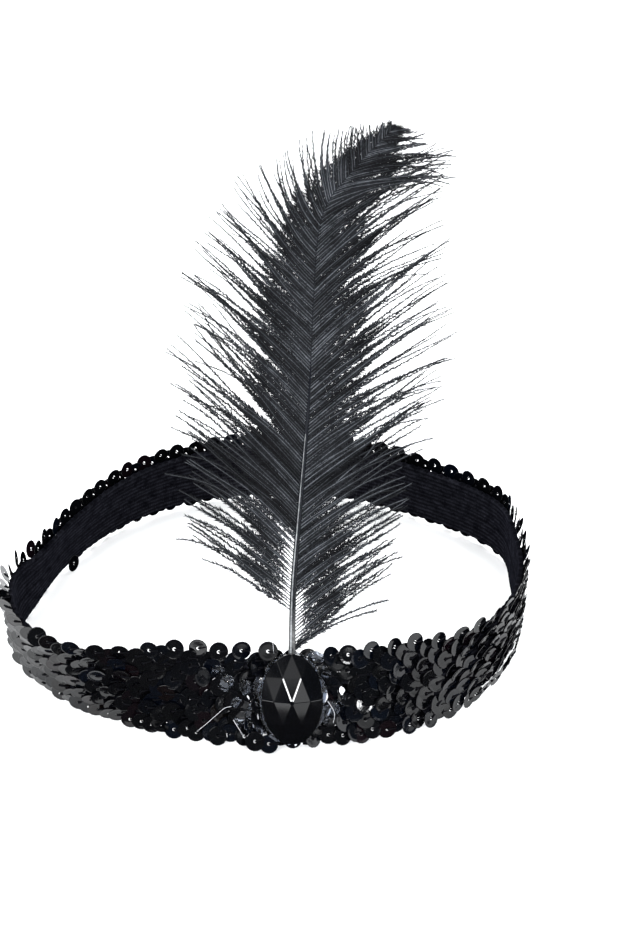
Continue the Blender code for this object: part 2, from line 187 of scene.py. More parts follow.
def build_wall():
    """The studio's air is dim. Only past the table's end, seen straight on, its wall is white."""
    world = bpy.data.worlds.new("studio")
    bpy.context.scene.world = world
    world.use_nodes = True
    nodes = world.node_tree.nodes
    wires = world.node_tree.links.new
    air = nodes["Background"]
    air.inputs["Color"].default_value = WORLD_COLOUR
    air.inputs["Strength"].default_value = WORLD_STRENGTH
    wall = nodes.new("ShaderNodeBackground")
    wall.inputs["Color"].default_value = WALL_COLOUR
    seen = nodes.new("ShaderNodeLightPath")
    either = nodes.new("ShaderNodeMixShader")
    wires(seen.outputs["Is Camera Ray"], either.inputs["Fac"])
    wires(air.outputs["Background"], either.inputs[1])
    wires(wall.outputs["Background"], either.inputs[2])
    wires(either.outputs["Shader"], nodes["World Output"].inputs["Surface"])


bpy.context.scene.view_settings.view_transform = "Standard"
build_wall()
lay_table()
for card in CARDS:
    lay_card(card)
for panel in PANELS:
    hang_panel(panel)


# The elastic: a tape of knitted black elastic, sewn into a loop that stands on its edge.
# Cords of rubber run its length, so its inner face is ribbed, with one deeper line along its middle.
LOOP_WIDTH = 0.187
LOOP_DEPTH = 0.1475
TRIM_WIDTH = 0.033
PLAN_SAMPLES = 720
FRAME_COLUMNS = 120

# Foot of the loop, counter-clockwise from the stone, as shares of half its width and depth. Lean
# is how far the wall tips inwards there, in degrees
Station = namedtuple("Station", "across along lean")
LOOP_STATIONS = rows_of(Station, [
    (0.10, -1.00, 29),
    (0.42, -0.94, 24),
    (0.69, -0.78, 10),
    (0.87, -0.54, 2),
    (0.97, -0.22, 0),
    (0.99, 0.10, 2),
    (0.98, 0.36, 6),
    (0.86, 0.57, 8),
    (0.62, 0.78, 8),
    (0.36, 0.94, 8),
    (-0.02, 1.00, 8),
    (-0.42, 0.88, 10),
    (-0.68, 0.64, 12),
    (-0.86, 0.32, 15),
    (-0.94, 0.02, 12),
    (-0.97, -0.28, 0),
    (-0.84, -0.57, -9),
    (-0.60, -0.79, -4),
    (-0.27, -0.95, 24),
])
ELASTIC_WIDTH = 0.0254
ELASTIC_THICKNESS = 0.0016
ELASTIC_MARGIN = (TRIM_WIDTH - ELASTIC_WIDTH) / 2
ELASTIC_COLUMNS = 800
ELASTIC_RIBS = 13
POINTS_PER_RIB = 3
RIB_DEPTH = 0.00006
MIDDLE_GROOVE = 0.0005
MIDDLE_WIDTH = 0.0006
EDGE_RIPPLE = 0.00028
COLUMNS_PER_RIPPLE = 5
FOOT_RIPPLE = 0.6
EDGE_WANDER = 0.0005
WANDER_TURNS = 9
EDGE_ROUND = 0.00035
# How deeply the painted groove shade darkens the elastic's dye
GROOVE_SHADE_DEPTH = 0.75

Wall = namedtuple("Wall", "foot side up face")


def blend_rows(before, start, end, after, share):
    """Catmull-Rom value between start and end."""
    square = share * share
    cube = square * share
    return 0.5 * (
        2 * start
        + (end - before) * share
        + (2 * before - 5 * start + 4 * end - after) * square
        + (3 * start - before - 3 * end + after) * cube
    )


def plan_points():
    rows = [
        Vector((s.across * LOOP_WIDTH / 2, s.along * LOOP_DEPTH / 2, s.lean))
        for s in LOOP_STATIONS
    ]
    count = len(rows)
    per_station = PLAN_SAMPLES // count
    points = []
    for index in range(count):
        near = [rows[(index + step) % count] for step in (-1, 0, 1, 2)]
        points += [blend_rows(*near, part / per_station) for part in range(per_station)]
    return points


def run_lengths(points):
    """Lengths of a closed line's parts, seen from above."""
    return [(b.xy - a.xy).length for a, b in zip(points, points[1:] + points[:1])]


def even_rows(points, count):
    ends = points[1:] + points[:1]
    lengths = run_lengths(points)
    total = sum(lengths)
    rows = []
    passed = 0.0
    for start, end, length in zip(points, ends, lengths):
        while len(rows) < count and len(rows) * total / count < passed + length:
            rows.append(start.lerp(end, (len(rows) * total / count - passed) / length))
        passed += length
    return rows


def loop_walls(count, shift=Vector()):
    """Frames of the standing wall at equal distances round the loop, the first at the stone."""
    rows = even_rows(plan_points(), count)
    walls = []
    for index, row in enumerate(rows):
        ahead = rows[(index + 1) % count]
        behind = rows[index - 1]
        side = Vector((ahead.x - behind.x, ahead.y - behind.y, 0)).normalized()
        out = Vector((side.y, -side.x, 0))
        lean = math.radians(row.z)
        up = Vector((0, 0, math.cos(lean))) - out * math.sin(lean)
        face = out * math.cos(lean) + Vector((0, 0, math.sin(lean)))
        walls.append(Wall(Vector((row.x, row.y, 0)) + shift, side, up, face))
    return walls


def on_wall(wall, height, depth, across=0.0):
    """A point on the wall: height up its slope, depth outwards from the elastic's outer face."""
    return wall.foot + wall.up * height + wall.face * depth + wall.side * across


def foot_height(wall, depth, rise):
    """How far up the slope a point at this depth stands at this rise above the table."""
    return (rise - depth * wall.face.z) / wall.up.z


def frame_shift():
    """How far the loop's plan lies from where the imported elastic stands."""
    corners = []
    for wall in loop_walls(FRAME_COLUMNS):
        for depth in (0.0, -ELASTIC_THICKNESS):
            foot = foot_height(wall, depth, ELASTIC_MARGIN)
            corners += [on_wall(wall, foot, depth), on_wall(wall, TRIM_WIDTH - ELASTIC_MARGIN, depth)]
    low, high = (Vector(corner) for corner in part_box("elastic_band"))
    middle = (low + high) / 2
    own_x = (min(c.x for c in corners) + max(c.x for c in corners)) / 2
    own_y = (min(c.y for c in corners) + max(c.y for c in corners)) / 2
    return Vector((middle.x - own_x, middle.y - own_y, 0))


SHIFT = frame_shift()
LOOP_LENGTH = sum(run_lengths(plan_points()))


def put_on(piece, node):
    """The piece belongs to the headband and stands for a CAD node, which it hides."""
    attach(piece, "root")
    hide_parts(node)


def elastic_outline(wall, column):
    """One section of the tape with its distance across: outer face, top edge, ribs, lower edge."""
    ripple = EDGE_RIPPLE * math.sin(2 * math.pi * column / COLUMNS_PER_RIPPLE)
    angle = 2 * math.pi * column / ELASTIC_COLUMNS
    wander = EDGE_WANDER * noise.noise(Vector((math.cos(angle), math.sin(angle), 0)) * WANDER_TURNS)
    top = TRIM_WIDTH - ELASTIC_MARGIN + ripple + wander
    foot = foot_height(wall, 0, ELASTIC_MARGIN) - ripple * FOOT_RIPPLE + wander
    inner = -ELASTIC_THICKNESS
    rows = [(foot + EDGE_ROUND, 0.0), ((foot + top) / 2, 0.0), (top - EDGE_ROUND, 0.0)]
    rows += [(top, -EDGE_ROUND), (top, inner + EDGE_ROUND)]
    steps = ELASTIC_RIBS * POINTS_PER_RIB
    start = top - EDGE_ROUND
    span = start - foot - EDGE_ROUND
    for step in range(steps + 1):
        share = step / steps
        height = start - span * share
        rib = RIB_DEPTH * abs(math.sin(math.pi * share * ELASTIC_RIBS))
        groove = MIDDLE_GROOVE * math.exp(-(((height - TRIM_WIDTH / 2) / MIDDLE_WIDTH) ** 2))
        rows.append((height, inner + RIB_DEPTH - rib + groove))
    rows += [(foot, inner + EDGE_ROUND), (foot, -EDGE_ROUND)]
    return [on_wall(wall, height, depth) for height, depth in rows], [height for height, _ in rows]


def ring_mesh(name, sections, heights, length):
    """A closed ring with a UV map in metres: along the loop, and up the wall."""
    count = len(sections)
    corners = len(sections[0])
    points = [point for section in sections for point in section]
    faces = []
    places = []
    for column in range(count):
        after = (column + 1) % count
        for corner in range(corners):
            beside = (corner + 1) % corners
            start = column * length / count
            end = (column + 1) * length / count
            face = []
            for ring, place, point in (
                (column, start, corner),
                (after, end, corner),
                (after, end, beside),
                (column, start, beside),
            ):
                face.append(ring * corners + point)
                places.append((place, heights[ring][point]))
            faces.append(face)
    mesh = bpy.data.meshes.new(name)
    mesh.from_pydata(points, [], faces)
    layer = mesh.uv_layers.new(name="cloth")
    for loop, place in zip(layer.data, places):
        loop.uv = place
    bm = bmesh.new()
    bm.from_mesh(mesh)
    bmesh.ops.recalc_face_normals(bm, faces=bm.faces)
    bm.to_mesh(mesh)
    bm.free()
    mesh.shade_smooth()
    return mesh


def group_socket(tree, name, kind, way="INPUT", value=None):
    socket = tree.interface.new_socket(name, in_out=way, socket_type=kind)
    if value is not None:
        socket.default_value = value
    return socket


FINE_SHARE = 0.45
MIDDLE_TONE = 0.5


def dye_mottle_group():
    """Uneven dye: a soft mask from coarse and fine noise, and the same as a height."""
    tree = bpy.data.node_groups.new("dye_mottle", "ShaderNodeTree")
    group_socket(tree, "Place", "NodeSocketVector")
    group_socket(tree, "Coarse", "NodeSocketFloat", value=60.0)
    group_socket(tree, "Fine", "NodeSocketFloat", value=900.0)
    group_socket(tree, "Contrast", "NodeSocketFloat", value=0.5)
    group_socket(tree, "Mask", "NodeSocketFloat", "OUTPUT")
    group_socket(tree, "Grain", "NodeSocketFloat", "OUTPUT")
    nodes = tree.nodes
    wires = tree.links.new
    given = nodes.new("NodeGroupInput")
    result = nodes.new("NodeGroupOutput")
    coarse = nodes.new("ShaderNodeTexNoise")
    fine = nodes.new("ShaderNodeTexNoise")
    coarse.inputs["Detail"].default_value = 3
    fine.inputs["Detail"].default_value = 2
    mix = nodes.new("ShaderNodeMix")
    mix.inputs["Factor"].default_value = FINE_SHARE
    spread = nodes.new("ShaderNodeMath")
    spread.operation = "MULTIPLY_ADD"
    spread.use_clamp = True
    spread.inputs[2].default_value = MIDDLE_TONE
    centre = nodes.new("ShaderNodeMath")
    centre.operation = "SUBTRACT"
    centre.inputs[1].default_value = MIDDLE_TONE
    wires(given.outputs["Place"], coarse.inputs["Vector"])
    wires(given.outputs["Place"], fine.inputs["Vector"])
    wires(given.outputs["Coarse"], coarse.inputs["Scale"])
    wires(given.outputs["Fine"], fine.inputs["Scale"])
    wires(coarse.outputs["Fac"], mix.inputs["A"])
    wires(fine.outputs["Fac"], mix.inputs["B"])
    wires(mix.outputs["Result"], centre.inputs[0])
    wires(centre.outputs["Value"], spread.inputs[0])
    wires(given.outputs["Contrast"], spread.inputs[1])
    wires(spread.outputs["Value"], result.inputs["Mask"])
    wires(fine.outputs["Fac"], result.inputs["Grain"])
    return tree


DYE_MOTTLE = dye_mottle_group()


def mottled(material, coarse, fine, contrast, place=None):
    """A dye_mottle node that reads this place, or else the piece's own coordinates."""
    tree = material.node_tree
    if place is None:
        place = tree.nodes.new("ShaderNodeTexCoord").outputs["Object"]
    node = tree.nodes.new("ShaderNodeGroup")
    node.node_tree = DYE_MOTTLE
    node.inputs["Coarse"].default_value = coarse
    node.inputs["Fine"].default_value = fine
    node.inputs["Contrast"].default_value = contrast
    tree.links.new(place, node.inputs["Place"])
    return node


def dye_by(material, mask, dark, light):
    """Colours the material between a dark and a light tone by a mask."""
    tree = material.node_tree
    ramp = tree.nodes.new("ShaderNodeValToRGB")
    ramp.color_ramp.elements[0].color = (*dark, 1)
    ramp.color_ramp.elements[1].color = (*light, 1)
    tree.links.new(mask, ramp.inputs["Fac"])
    tree.links.new(ramp.outputs["Color"], tree.nodes["Principled BSDF"].inputs["Base Color"])


def roughen(material, height, strength, distance):
    """Gives the surface fine bumps by a height."""
    tree = material.node_tree
    bump = tree.nodes.new("ShaderNodeBump")
    bump.inputs["Strength"].default_value = strength
    bump.inputs["Distance"].default_value = distance
    tree.links.new(height, bump.inputs["Height"])
    tree.links.new(bump.outputs["Normal"], tree.nodes["Principled BSDF"].inputs["Normal"])


def waves(tree, place, scale, direction, distortion):
    wave = tree.nodes.new("ShaderNodeTexWave")
    wave.wave_type = "BANDS"
    wave.bands_direction = direction
    wave.inputs["Scale"].default_value = scale
    wave.inputs["Distortion"].default_value = distortion
    wave.inputs["Detail"].default_value = 1
    wave.inputs["Detail Scale"].default_value = 3
    tree.links.new(place, wave.inputs["Vector"])
    return wave.outputs["Fac"]


def feed(tree, socket, value):
    """Sets a plain number on a socket, or wires another node's output to it."""
    if isinstance(value, (int, float)):
        socket.default_value = value
    else:
        tree.links.new(value, socket)


def math_node(tree, operation, first, second):
    node = tree.nodes.new("ShaderNodeMath")
    node.operation = operation
    feed(tree, node.inputs[0], first)
    feed(tree, node.inputs[1], second)
    return node.outputs["Value"]


def elastic_material():
    """Matt black yarn: stitches across the tape over the rubber cords, with a little nap. Bands along the
    tape darken its dye as painted shade in the grooves between the cords.
    """
    material, tree, shader = new_material("knitted_elastic", 1.0, 0.0)
    uv = tree.nodes.new("ShaderNodeUVMap")
    uv.uv_map = "cloth"
    place = uv.outputs["UV"]
    across = waves(tree, place, scale=330, direction="X", distortion=2.2)
    along = waves(tree, place, scale=160, direction="Y", distortion=1.4)
    yarn = mottled(material, coarse=260, fine=1500, contrast=3.2, place=place)
    knit = math_node(tree, "MULTIPLY", across, along)
    height = math_node(tree, "ADD", knit, yarn.outputs["Grain"])
    # Painted shade: bands along the tape darken the dye, standing for shadow in the grooves between the
    # cords
    groove_shade = math_node(tree, "ADD", math_node(tree, "MULTIPLY", along, GROOVE_SHADE_DEPTH), 1 - GROOVE_SHADE_DEPTH)
    tone = math_node(tree, "MULTIPLY", yarn.outputs["Mask"], groove_shade)
    dye_by(material, tone, dark=(0.0002, 0.0002, 0.0004), light=(0.0135, 0.0138, 0.0180))
    roughen(material, height, strength=0.55, distance=0.0003)
    shader.inputs["Sheen Weight"].default_value = 0.008
    shader.inputs["Sheen Roughness"].default_value = 0.6
    shader.inputs["Sheen Tint"].default_value = (0.55, 0.6, 0.9, 1)
    return material


def make_elastic():
    sections = []
    heights = []
    for column, wall in enumerate(loop_walls(ELASTIC_COLUMNS, SHIFT)):
        outline, rows = elastic_outline(wall, column)
        sections.append(outline)
        heights.append(rows)
    mesh = ring_mesh("elastic_tape", sections, heights, LOOP_LENGTH)
    tape = add_object("elastic_tape", mesh, elastic_material())
    put_on(tape, "elastic_band")


make_elastic()


# The sequins: flat black plastic discs, 6.5 mm across with a small hole, sewn on in six rows.
# Each row runs in a zigzag and the discs overlap like scales, swept another way on each flank.
# Round the stone they were pushed flat and about while the glue was wet.
SEQUIN_ROWS = 6
SEQUINS_PER_ROW = 132
SEQUIN_RADIUS = 0.00325
SEQUIN_SIDES = 16
SEQUIN_DEPTH = 0.0011
SEQUIN_SWEEP = math.radians(15)
LEFT_SWEEP = math.radians(18)
RIGHT_SWEEP = math.radians(-23)
LEFT_RAISE = math.radians(13)
SEQUIN_TILT = math.radians(-14)
FRONT_TILT = math.radians(6)
FRONT_REACH = 0.056
SEQUIN_JITTER = math.radians(9)
LOOSE_JITTER = math.radians(17)
LEFT_JITTER = math.radians(5)
LEFT_LIFT = 0.0009
BACK_SWEEP = math.radians(-19)
LOOSE_REACH = 0.036
ROW_ZIGZAG = 0.0012
FOOT_ZIGZAG = 0.0004
ROW_RISE = 0.0004
PLACE_JITTER = 0.0005
LOOSE_SHIFT = 0.0009
DEPTH_JITTER = 0.5
SPIN_JITTER = 0.3
BACK_FACE = 0.3
SEQUIN_SEED = 11

# Section of a disc from its hole to its rim and back: distance from its middle, and outwards
SequinPoint = namedtuple("SequinPoint", "out rise")
SEQUIN_SECTION = rows_of(SequinPoint, [
    (0.00054, 0.00002),
    (0.00072, 0.00008),
    (0.00235, 0.00004),
    (0.00305, 0.00008),
    (0.00325, 0.00003),
    (0.00310, -0.00006),
    (0.00060, -0.00006),
])

# Discs that stand askew: their row, how far along the loop from the stone, how far they are lifted
# off the wall and raised along it, and their tilt sideways and upwards, in degrees. The one that is
# lifted backwards hangs inside the loop
Askew = namedtuple("Askew", "row along lift raised sideways upwards")
ASKEW_DISCS = rows_of(Askew, [
    (0, -0.0438, 0.0016, 0.0004, 68, 69),
    (5, -0.0856, 0.0006, 0.0030, 52, 45),
    (5, -0.1095, 0.0010, 0.0020, 71, 19),
    (0, -0.1673, -0.0040, 0.0012, 0, -20),
    (0, -0.0119, 0.0028, -0.0014, 3, 4),
    (0, -0.0060, 0.0028, -0.0014, -2, 6),
    (5, -0.0100, 0.0012, 0.0016, -3, 17),
    (0, -0.0215, 0.0008, 0, 6, 14),
    (4, -0.0300, 0.0012, 0, -24, 6),
    (3, -0.0259, 0.0006, 0, 10, 3),
    (3, -0.0219, 0, 0, -5, 1),
    (0, 0.0280, 0.0006, 0, 4, 14),
    (0, 0.0410, 0.0010, 0, 14, 8),
    (0, 0.0480, 0.0006, 0, 16, 10),
    (1, 0.0520, 0.0012, 0, 20, 10),
    (5, 0.0120, 0.0010, 0, 2, 12),
])

Spot = namedtuple("Spot", "place turn shade")


def join_rings(bm, rings):
    """A closed skin over rings of corners that run round to the first again."""
    for ring, after in zip(rings, rings[1:] + rings[:1]):
        for index in range(len(ring)):
            beside = (index + 1) % len(ring)
            bm.faces.new((ring[index], after[index], after[beside], ring[beside]))
    bmesh.ops.recalc_face_normals(bm, faces=bm.faces)


def sequin_blank():
    """One disc, turned from its section."""
    bm = bmesh.new()
    rings = []
    for side in range(SEQUIN_SIDES):
        angle = 2 * math.pi * side / SEQUIN_SIDES
        ring = [(p.out * math.cos(angle), p.out * math.sin(angle), p.rise) for p in SEQUIN_SECTION]
        rings.append([bm.verts.new(corner) for corner in ring])
    join_rings(bm, rings)
    mesh = keep_mesh(bm, "sequin_blank")
    back = mesh.attributes.new("back", "FLOAT", "POINT")
    back.data.foreach_set("value", [float(vertex.co.z < 0) for vertex in mesh.vertices])
    return add_object("sequin_blank", mesh)


def nearness(column, columns, reach, power):
    """1 at the stone, falling to 0 away from it on both sides."""
    share = min(column, columns - column) / columns
    return math.exp(-((share * LOOP_LENGTH / reach) ** power))


def wall_turn(wall):
    """The turn that sets a flat thing on the wall: its X along the loop and its Z outwards."""
    return Matrix((wall.side, wall.up, wall.face)).transposed()


def sequin_spots():
    """Where each disc sits and how it is turned, as one list for each row from the bottom up."""
    draw = random.Random(SEQUIN_SEED)
    columns = SEQUINS_PER_ROW * 2
    walls = loop_walls(columns, SHIFT)
    askew = {}
    for disc in ASKEW_DISCS:
        column = round(disc.along / LOOP_LENGTH * columns - disc.row % 2)
        askew[disc.row, column // 2 % SEQUINS_PER_ROW] = disc
    rows = []
    for row in range(SEQUIN_ROWS):
        spots = []
        for number in range(SEQUINS_PER_ROW):
            column = number * 2 + row % 2
            wall = walls[column]
            loose = nearness(column, columns, LOOSE_REACH, 2)
            front = nearness(column, columns, FRONT_REACH, 4)
            zigzag = ROW_ZIGZAG if row else FOOT_ZIGZAG
            low = foot_height(wall, SEQUIN_DEPTH, SEQUIN_RADIUS + FOOT_ZIGZAG)
            high = TRIM_WIDTH - SEQUIN_RADIUS + ROW_RISE
            shift = PLACE_JITTER + LOOSE_SHIFT * loose
            height = low + (high - low) * row / (SEQUIN_ROWS - 1)
            height += zigzag * (1 if number % 2 else -1)
            height += draw.uniform(-1, 1) * shift if row else draw.random() * FOOT_ZIGZAG
            across = draw.uniform(-1, 1) * shift
            depth = SEQUIN_DEPTH + draw.uniform(0, 1) * shift * DEPTH_JITTER
            left = max(-wall.face.x, 0) * max(BACK_FACE - wall.face.y, 0)
            right = max(wall.face.x, 0)
            back = max(-wall.face.x, 0) * min(max(wall.face.y / BACK_FACE, 0), 1)
            tilt = SEQUIN_JITTER + LOOSE_JITTER * loose + LEFT_JITTER * left
            sweep = SEQUIN_SWEEP + LEFT_SWEEP * left + RIGHT_SWEEP * right + BACK_SWEEP * back
            depth += LEFT_LIFT * left * (number % 2)
            raised = SEQUIN_TILT + LEFT_RAISE * left
            sideways = sweep + draw.uniform(-1, 1) * tilt
            upwards = raised + (FRONT_TILT - raised) * front + draw.uniform(-1, 1) * tilt
            disc = askew.get((row, number))
            if disc:
                depth += disc.lift
                height += disc.raised
                sideways = math.radians(disc.sideways)
                upwards = math.radians(disc.upwards)
            turn = wall_turn(wall) @ Matrix.Rotation(sideways, 3, "Y")
            turn = turn @ Matrix.Rotation(-upwards, 3, "X")
            turn = turn @ Matrix.Rotation(draw.uniform(-SPIN_JITTER, SPIN_JITTER), 3, "Z")
            place = on_wall(wall, height, depth, across)
            spots.append(Spot(place, turn.to_quaternion(), draw.random()))
        rows.append(spots)
    return rows


def points_mesh(name, spots):
    """A point for each spot, which carries its turn and its shade."""
    mesh = bpy.data.meshes.new(name)
    mesh.from_pydata([spot.place for spot in spots], [], [])
    turn = mesh.attributes.new("turn", "QUATERNION", "POINT")
    turn.data.foreach_set("value", [part for spot in spots for part in spot.turn])
    shade = mesh.attributes.new("shade", "FLOAT", "POINT")
    shade.data.foreach_set("value", [spot.shade for spot in spots])
    return mesh


def growing_tree(name, sockets):
    """An empty Geometry Nodes tree with named inputs, and its two end nodes."""
    tree = bpy.data.node_groups.new(name, "GeometryNodeTree")
    group_socket(tree, "Geometry", "NodeSocketGeometry")
    for label, kind, value in sockets:
        group_socket(tree, label, kind, value=value)
    group_socket(tree, "Geometry", "NodeSocketGeometry", "OUTPUT")
    return tree, tree.nodes.new("NodeGroupInput"), tree.nodes.new("NodeGroupOutput")


def read_attribute(tree, name, kind):
    node = tree.nodes.new("GeometryNodeInputNamedAttribute")
    node.data_type = kind
    node.inputs["Name"].default_value = name
    return node.outputs["Attribute"]


def finish_tree(tree, given, result, geometry):
    """Ends a tree in Realize Instances and Set Material."""
    realize = tree.nodes.new("GeometryNodeRealizeInstances")
    paint = tree.nodes.new("GeometryNodeSetMaterial")
    tree.links.new(geometry, realize.inputs["Geometry"])
    tree.links.new(realize.outputs["Geometry"], paint.inputs["Geometry"])
    tree.links.new(given.outputs["Material"], paint.inputs["Material"])
    tree.links.new(paint.outputs["Geometry"], result.inputs["Geometry"])


def random_value(tree, low, high, seed):
    """A number between low and high, drawn anew for each point."""
    node = tree.nodes.new("FunctionNodeRandomValue")
    node.data_type = "FLOAT"
    feed(tree, node.inputs[2], low)
    feed(tree, node.inputs[3], high)
    feed(tree, node.inputs["Seed"], seed)
    return node.outputs[1]


def sewing_tree():
    """Sets a copy of a blank on each point, turned as the point says."""
    sockets = [
        ("Blank", "NodeSocketObject", None),
        ("Least Size", "NodeSocketFloat", 0.98),
        ("Most Size", "NodeSocketFloat", 1.02),
        ("Seed", "NodeSocketInt", 1),
        ("Material", "NodeSocketMaterial", None),
    ]
    tree, given, result = growing_tree("sewn_on_points", sockets)
    wires = tree.links.new
    blank = tree.nodes.new("GeometryNodeObjectInfo")
    wires(given.outputs["Blank"], blank.inputs["Object"])
    sizes = given.outputs["Least Size"], given.outputs["Most Size"]
    size = random_value(tree, *sizes, given.outputs["Seed"])
    sew = tree.nodes.new("GeometryNodeInstanceOnPoints")
    wires(given.outputs["Geometry"], sew.inputs["Points"])
    wires(blank.outputs["Geometry"], sew.inputs["Instance"])
    wires(read_attribute(tree, "turn", "QUATERNION"), sew.inputs["Rotation"])
    wires(size, sew.inputs["Scale"])
    finish_tree(tree, given, result, sew.outputs["Instances"])
    return tree


def grow(name, base, tree, **settings):
    """Runs a tree on a base mesh and keeps the result as a plain mesh."""
    seedbed = add_object(name + "_base", base)
    modifier = seedbed.modifiers.new("grow", "NODES")
    modifier.node_group = tree
    for item in tree.interface.items_tree:
        label = item.name.lower().replace(" ", "_")
        if item.in_out == "INPUT" and label in settings:
            modifier[item.identifier] = settings[label]
    graph = bpy.context.evaluated_depsgraph_get()
    mesh = bpy.data.meshes.new_from_object(seedbed.evaluated_get(graph))
    mesh.name = name
    bpy.data.objects.remove(seedbed)
    return add_object(name, mesh)


# The discs' casts, from one end of the dye's range to the other, and where on it each one lies
CAST_COLOURS = [
    (0.00, (0.0008, 0.0014, 0.0030)),
    (0.35, (0.0009, 0.0010, 0.0014)),
    (0.88, (0.0011, 0.0012, 0.0015)),
    (0.96, (0.0024, 0.0011, 0.0018)),
    (1.00, (0.0018, 0.0014, 0.0012)),
]
SEQUIN_GLOSS = 0.5
BACK_ROUGHNESS = 0.9


def carried(tree, name):
    """A value that the mesh carries under this name."""
    node = tree.nodes.new("ShaderNodeAttribute")
    node.attribute_name = name
    return node.outputs["Fac"]


def ranged(tree, value, given=(0, 1), wanted=(0, 1)):
    """Maps a value from one range to another."""
    node = tree.nodes.new("ShaderNodeMapRange")
    node.inputs["From Min"].default_value, node.inputs["From Max"].default_value = given
    node.inputs["To Min"].default_value, node.inputs["To Max"].default_value = wanted
    tree.links.new(value, node.inputs["Value"])
    return node.outputs["Result"]


def sequin_material():
    """Glossy plastic, hazed by handling and dull on its back, with a faint cast of blue or plum."""
    material, tree, shader = new_material("sequin_plastic", 0.2)
    wires = tree.links.new
    haze = mottled(material, coarse=160, fine=1500, contrast=1.2)
    ramp = tree.nodes.new("ShaderNodeValToRGB")
    colours = ramp.color_ramp.elements
    for end, (_, colour) in zip(colours, (CAST_COLOURS[0], CAST_COLOURS[-1])):
        end.color = (*colour, 1)
    for position, colour in CAST_COLOURS[1:-1]:
        colours.new(position).color = (*colour, 1)
    wires(carried(tree, "shade"), ramp.inputs["Fac"])
    wires(ramp.outputs["Color"], shader.inputs["Base Color"])
    back = carried(tree, "back")
    front_haze = ranged(tree, haze.outputs["Mask"], wanted=(0.05, 0.15))
    back_haze = math_node(tree, "MULTIPLY", back, BACK_ROUGHNESS)
    wires(math_node(tree, "MAXIMUM", front_haze, back_haze), shader.inputs["Roughness"])
    lost = math_node(tree, "MULTIPLY", back, -SEQUIN_GLOSS)
    wires(math_node(tree, "ADD", lost, SEQUIN_GLOSS), shader.inputs["Specular IOR Level"])
    roughen(material, haze.outputs["Grain"], strength=0.06, distance=0.0002)
    return material


SEWING_TREE = sewing_tree()
SEQUIN_SPOTS = sequin_spots()
RowGroup = namedtuple("RowGroup", "name first last")
ROW_GROUPS = rows_of(RowGroup, [
    ("sequins_lower", 0, 2),
    ("sequins_middle", 2, 4),
    ("sequins_upper", 4, 6),
])


def sew_sequins():
    blank = sequin_blank()
    plastic = sequin_material()
    for group in ROW_GROUPS:
        spots = [spot for row in SEQUIN_SPOTS[group.first : group.last] for spot in row]
        base = points_mesh(group.name, spots)
        settings = {"blank": blank, "least_size": 0.97, "most_size": 1.02, "seed": SEQUIN_SEED}
        discs = grow(group.name, base, SEWING_TREE, material=plastic, **settings)
        put_on(discs, "sequin_facing")
    bpy.data.objects.remove(blank)


sew_sequins()


# The stitches: black polyester thread that comes up through each sequin's hole, crosses to its
# right-hand rim and goes back down through the elastic, which holds the disc like a hinge.
THREAD_SIDES = 5
StitchPoint = namedtuple("StitchPoint", "across rise radius")
STITCH_LINE = rows_of(StitchPoint, [
    (0.0000, -0.0006, 0.00022),
    (0.0001, 0.00014, 0.00034),
    (0.0006, 0.00024, 0.00034),
    (0.0016, 0.00020, 0.00026),
    (0.0026, 0.00014, 0.00022),
    (0.0031, -0.0002, 0.00016),
])


def lines_mesh(name, lines):
    """Poly-lines, each a list of points that start with a place and a thickness."""
    points = []
    edges = []
    thicknesses = []
    for line in lines:
        start = len(points)
        points += [row[0] for row in line]
        thicknesses += [row[1] for row in line]
        edges += [(start + step, start + step + 1) for step in range(len(line) - 1)]
    mesh = bpy.data.meshes.new(name)
    mesh.from_pydata(points, edges, [])
    thickness = mesh.attributes.new("thickness", "FLOAT", "POINT")
    thickness.data.foreach_set("value", thicknesses)
    return mesh


def drawing_tree():
    """Makes each poly-line a round strand as thick as its points say."""
    sockets = [
        ("Sides", "NodeSocketInt", 4),
        ("Material", "NodeSocketMaterial", None),
    ]
    tree, given, result = growing_tree("drawn_strands", sockets)
    wires = tree.links.new
    line = tree.nodes.new("GeometryNodeMeshToCurve")
    circle = tree.nodes.new("GeometryNodeCurvePrimitiveCircle")
    circle.inputs["Radius"].default_value = 1
    strand = tree.nodes.new("GeometryNodeCurveToMesh")
    strand.inputs["Fill Caps"].default_value = True
    smooth = tree.nodes.new("GeometryNodeSetShadeSmooth")
    wires(given.outputs["Geometry"], line.inputs["Mesh"])
    wires(given.outputs["Sides"], circle.inputs["Resolution"])
    wires(line.outputs["Curve"], strand.inputs["Curve"])
    wires(circle.outputs["Curve"], strand.inputs["Profile Curve"])
    wires(read_attribute(tree, "thickness", "FLOAT"), strand.inputs["Scale"])
    wires(strand.outputs["Mesh"], smooth.inputs["Geometry"])
    finish_tree(tree, given, result, smooth.outputs["Geometry"])
    return tree


DRAWING_TREE = drawing_tree()


def thread_material():
    material, _, _ = new_material("black_thread", 0.9, 0.08)
    dye = mottled(material, coarse=300, fine=4000, contrast=1.0)
    dye_by(material, dye.outputs["Mask"], dark=(0.0008, 0.0008, 0.0012), light=(0.0040, 0.0040, 0.0055))
    roughen(material, dye.outputs["Grain"], strength=0.5, distance=0.0001)
    return material


def sew_stitches():
    black = thread_material()
    line = [(Vector((p.across, 0, p.rise)), p.radius) for p in STITCH_LINE]
    bent = lines_mesh("stitch_blank", [line])
    blank = grow("stitch_blank", bent, DRAWING_TREE, sides=THREAD_SIDES, material=black)
    spots = [spot for row in SEQUIN_SPOTS for spot in row]
    base = points_mesh("stitches", spots)
    thread = grow("stitches", base, SEWING_TREE, blank=blank, seed=SEQUIN_SEED + 1, material=black)
    put_on(thread, "sequin_facing")
    bpy.data.objects.remove(blank)


sew_stitches()
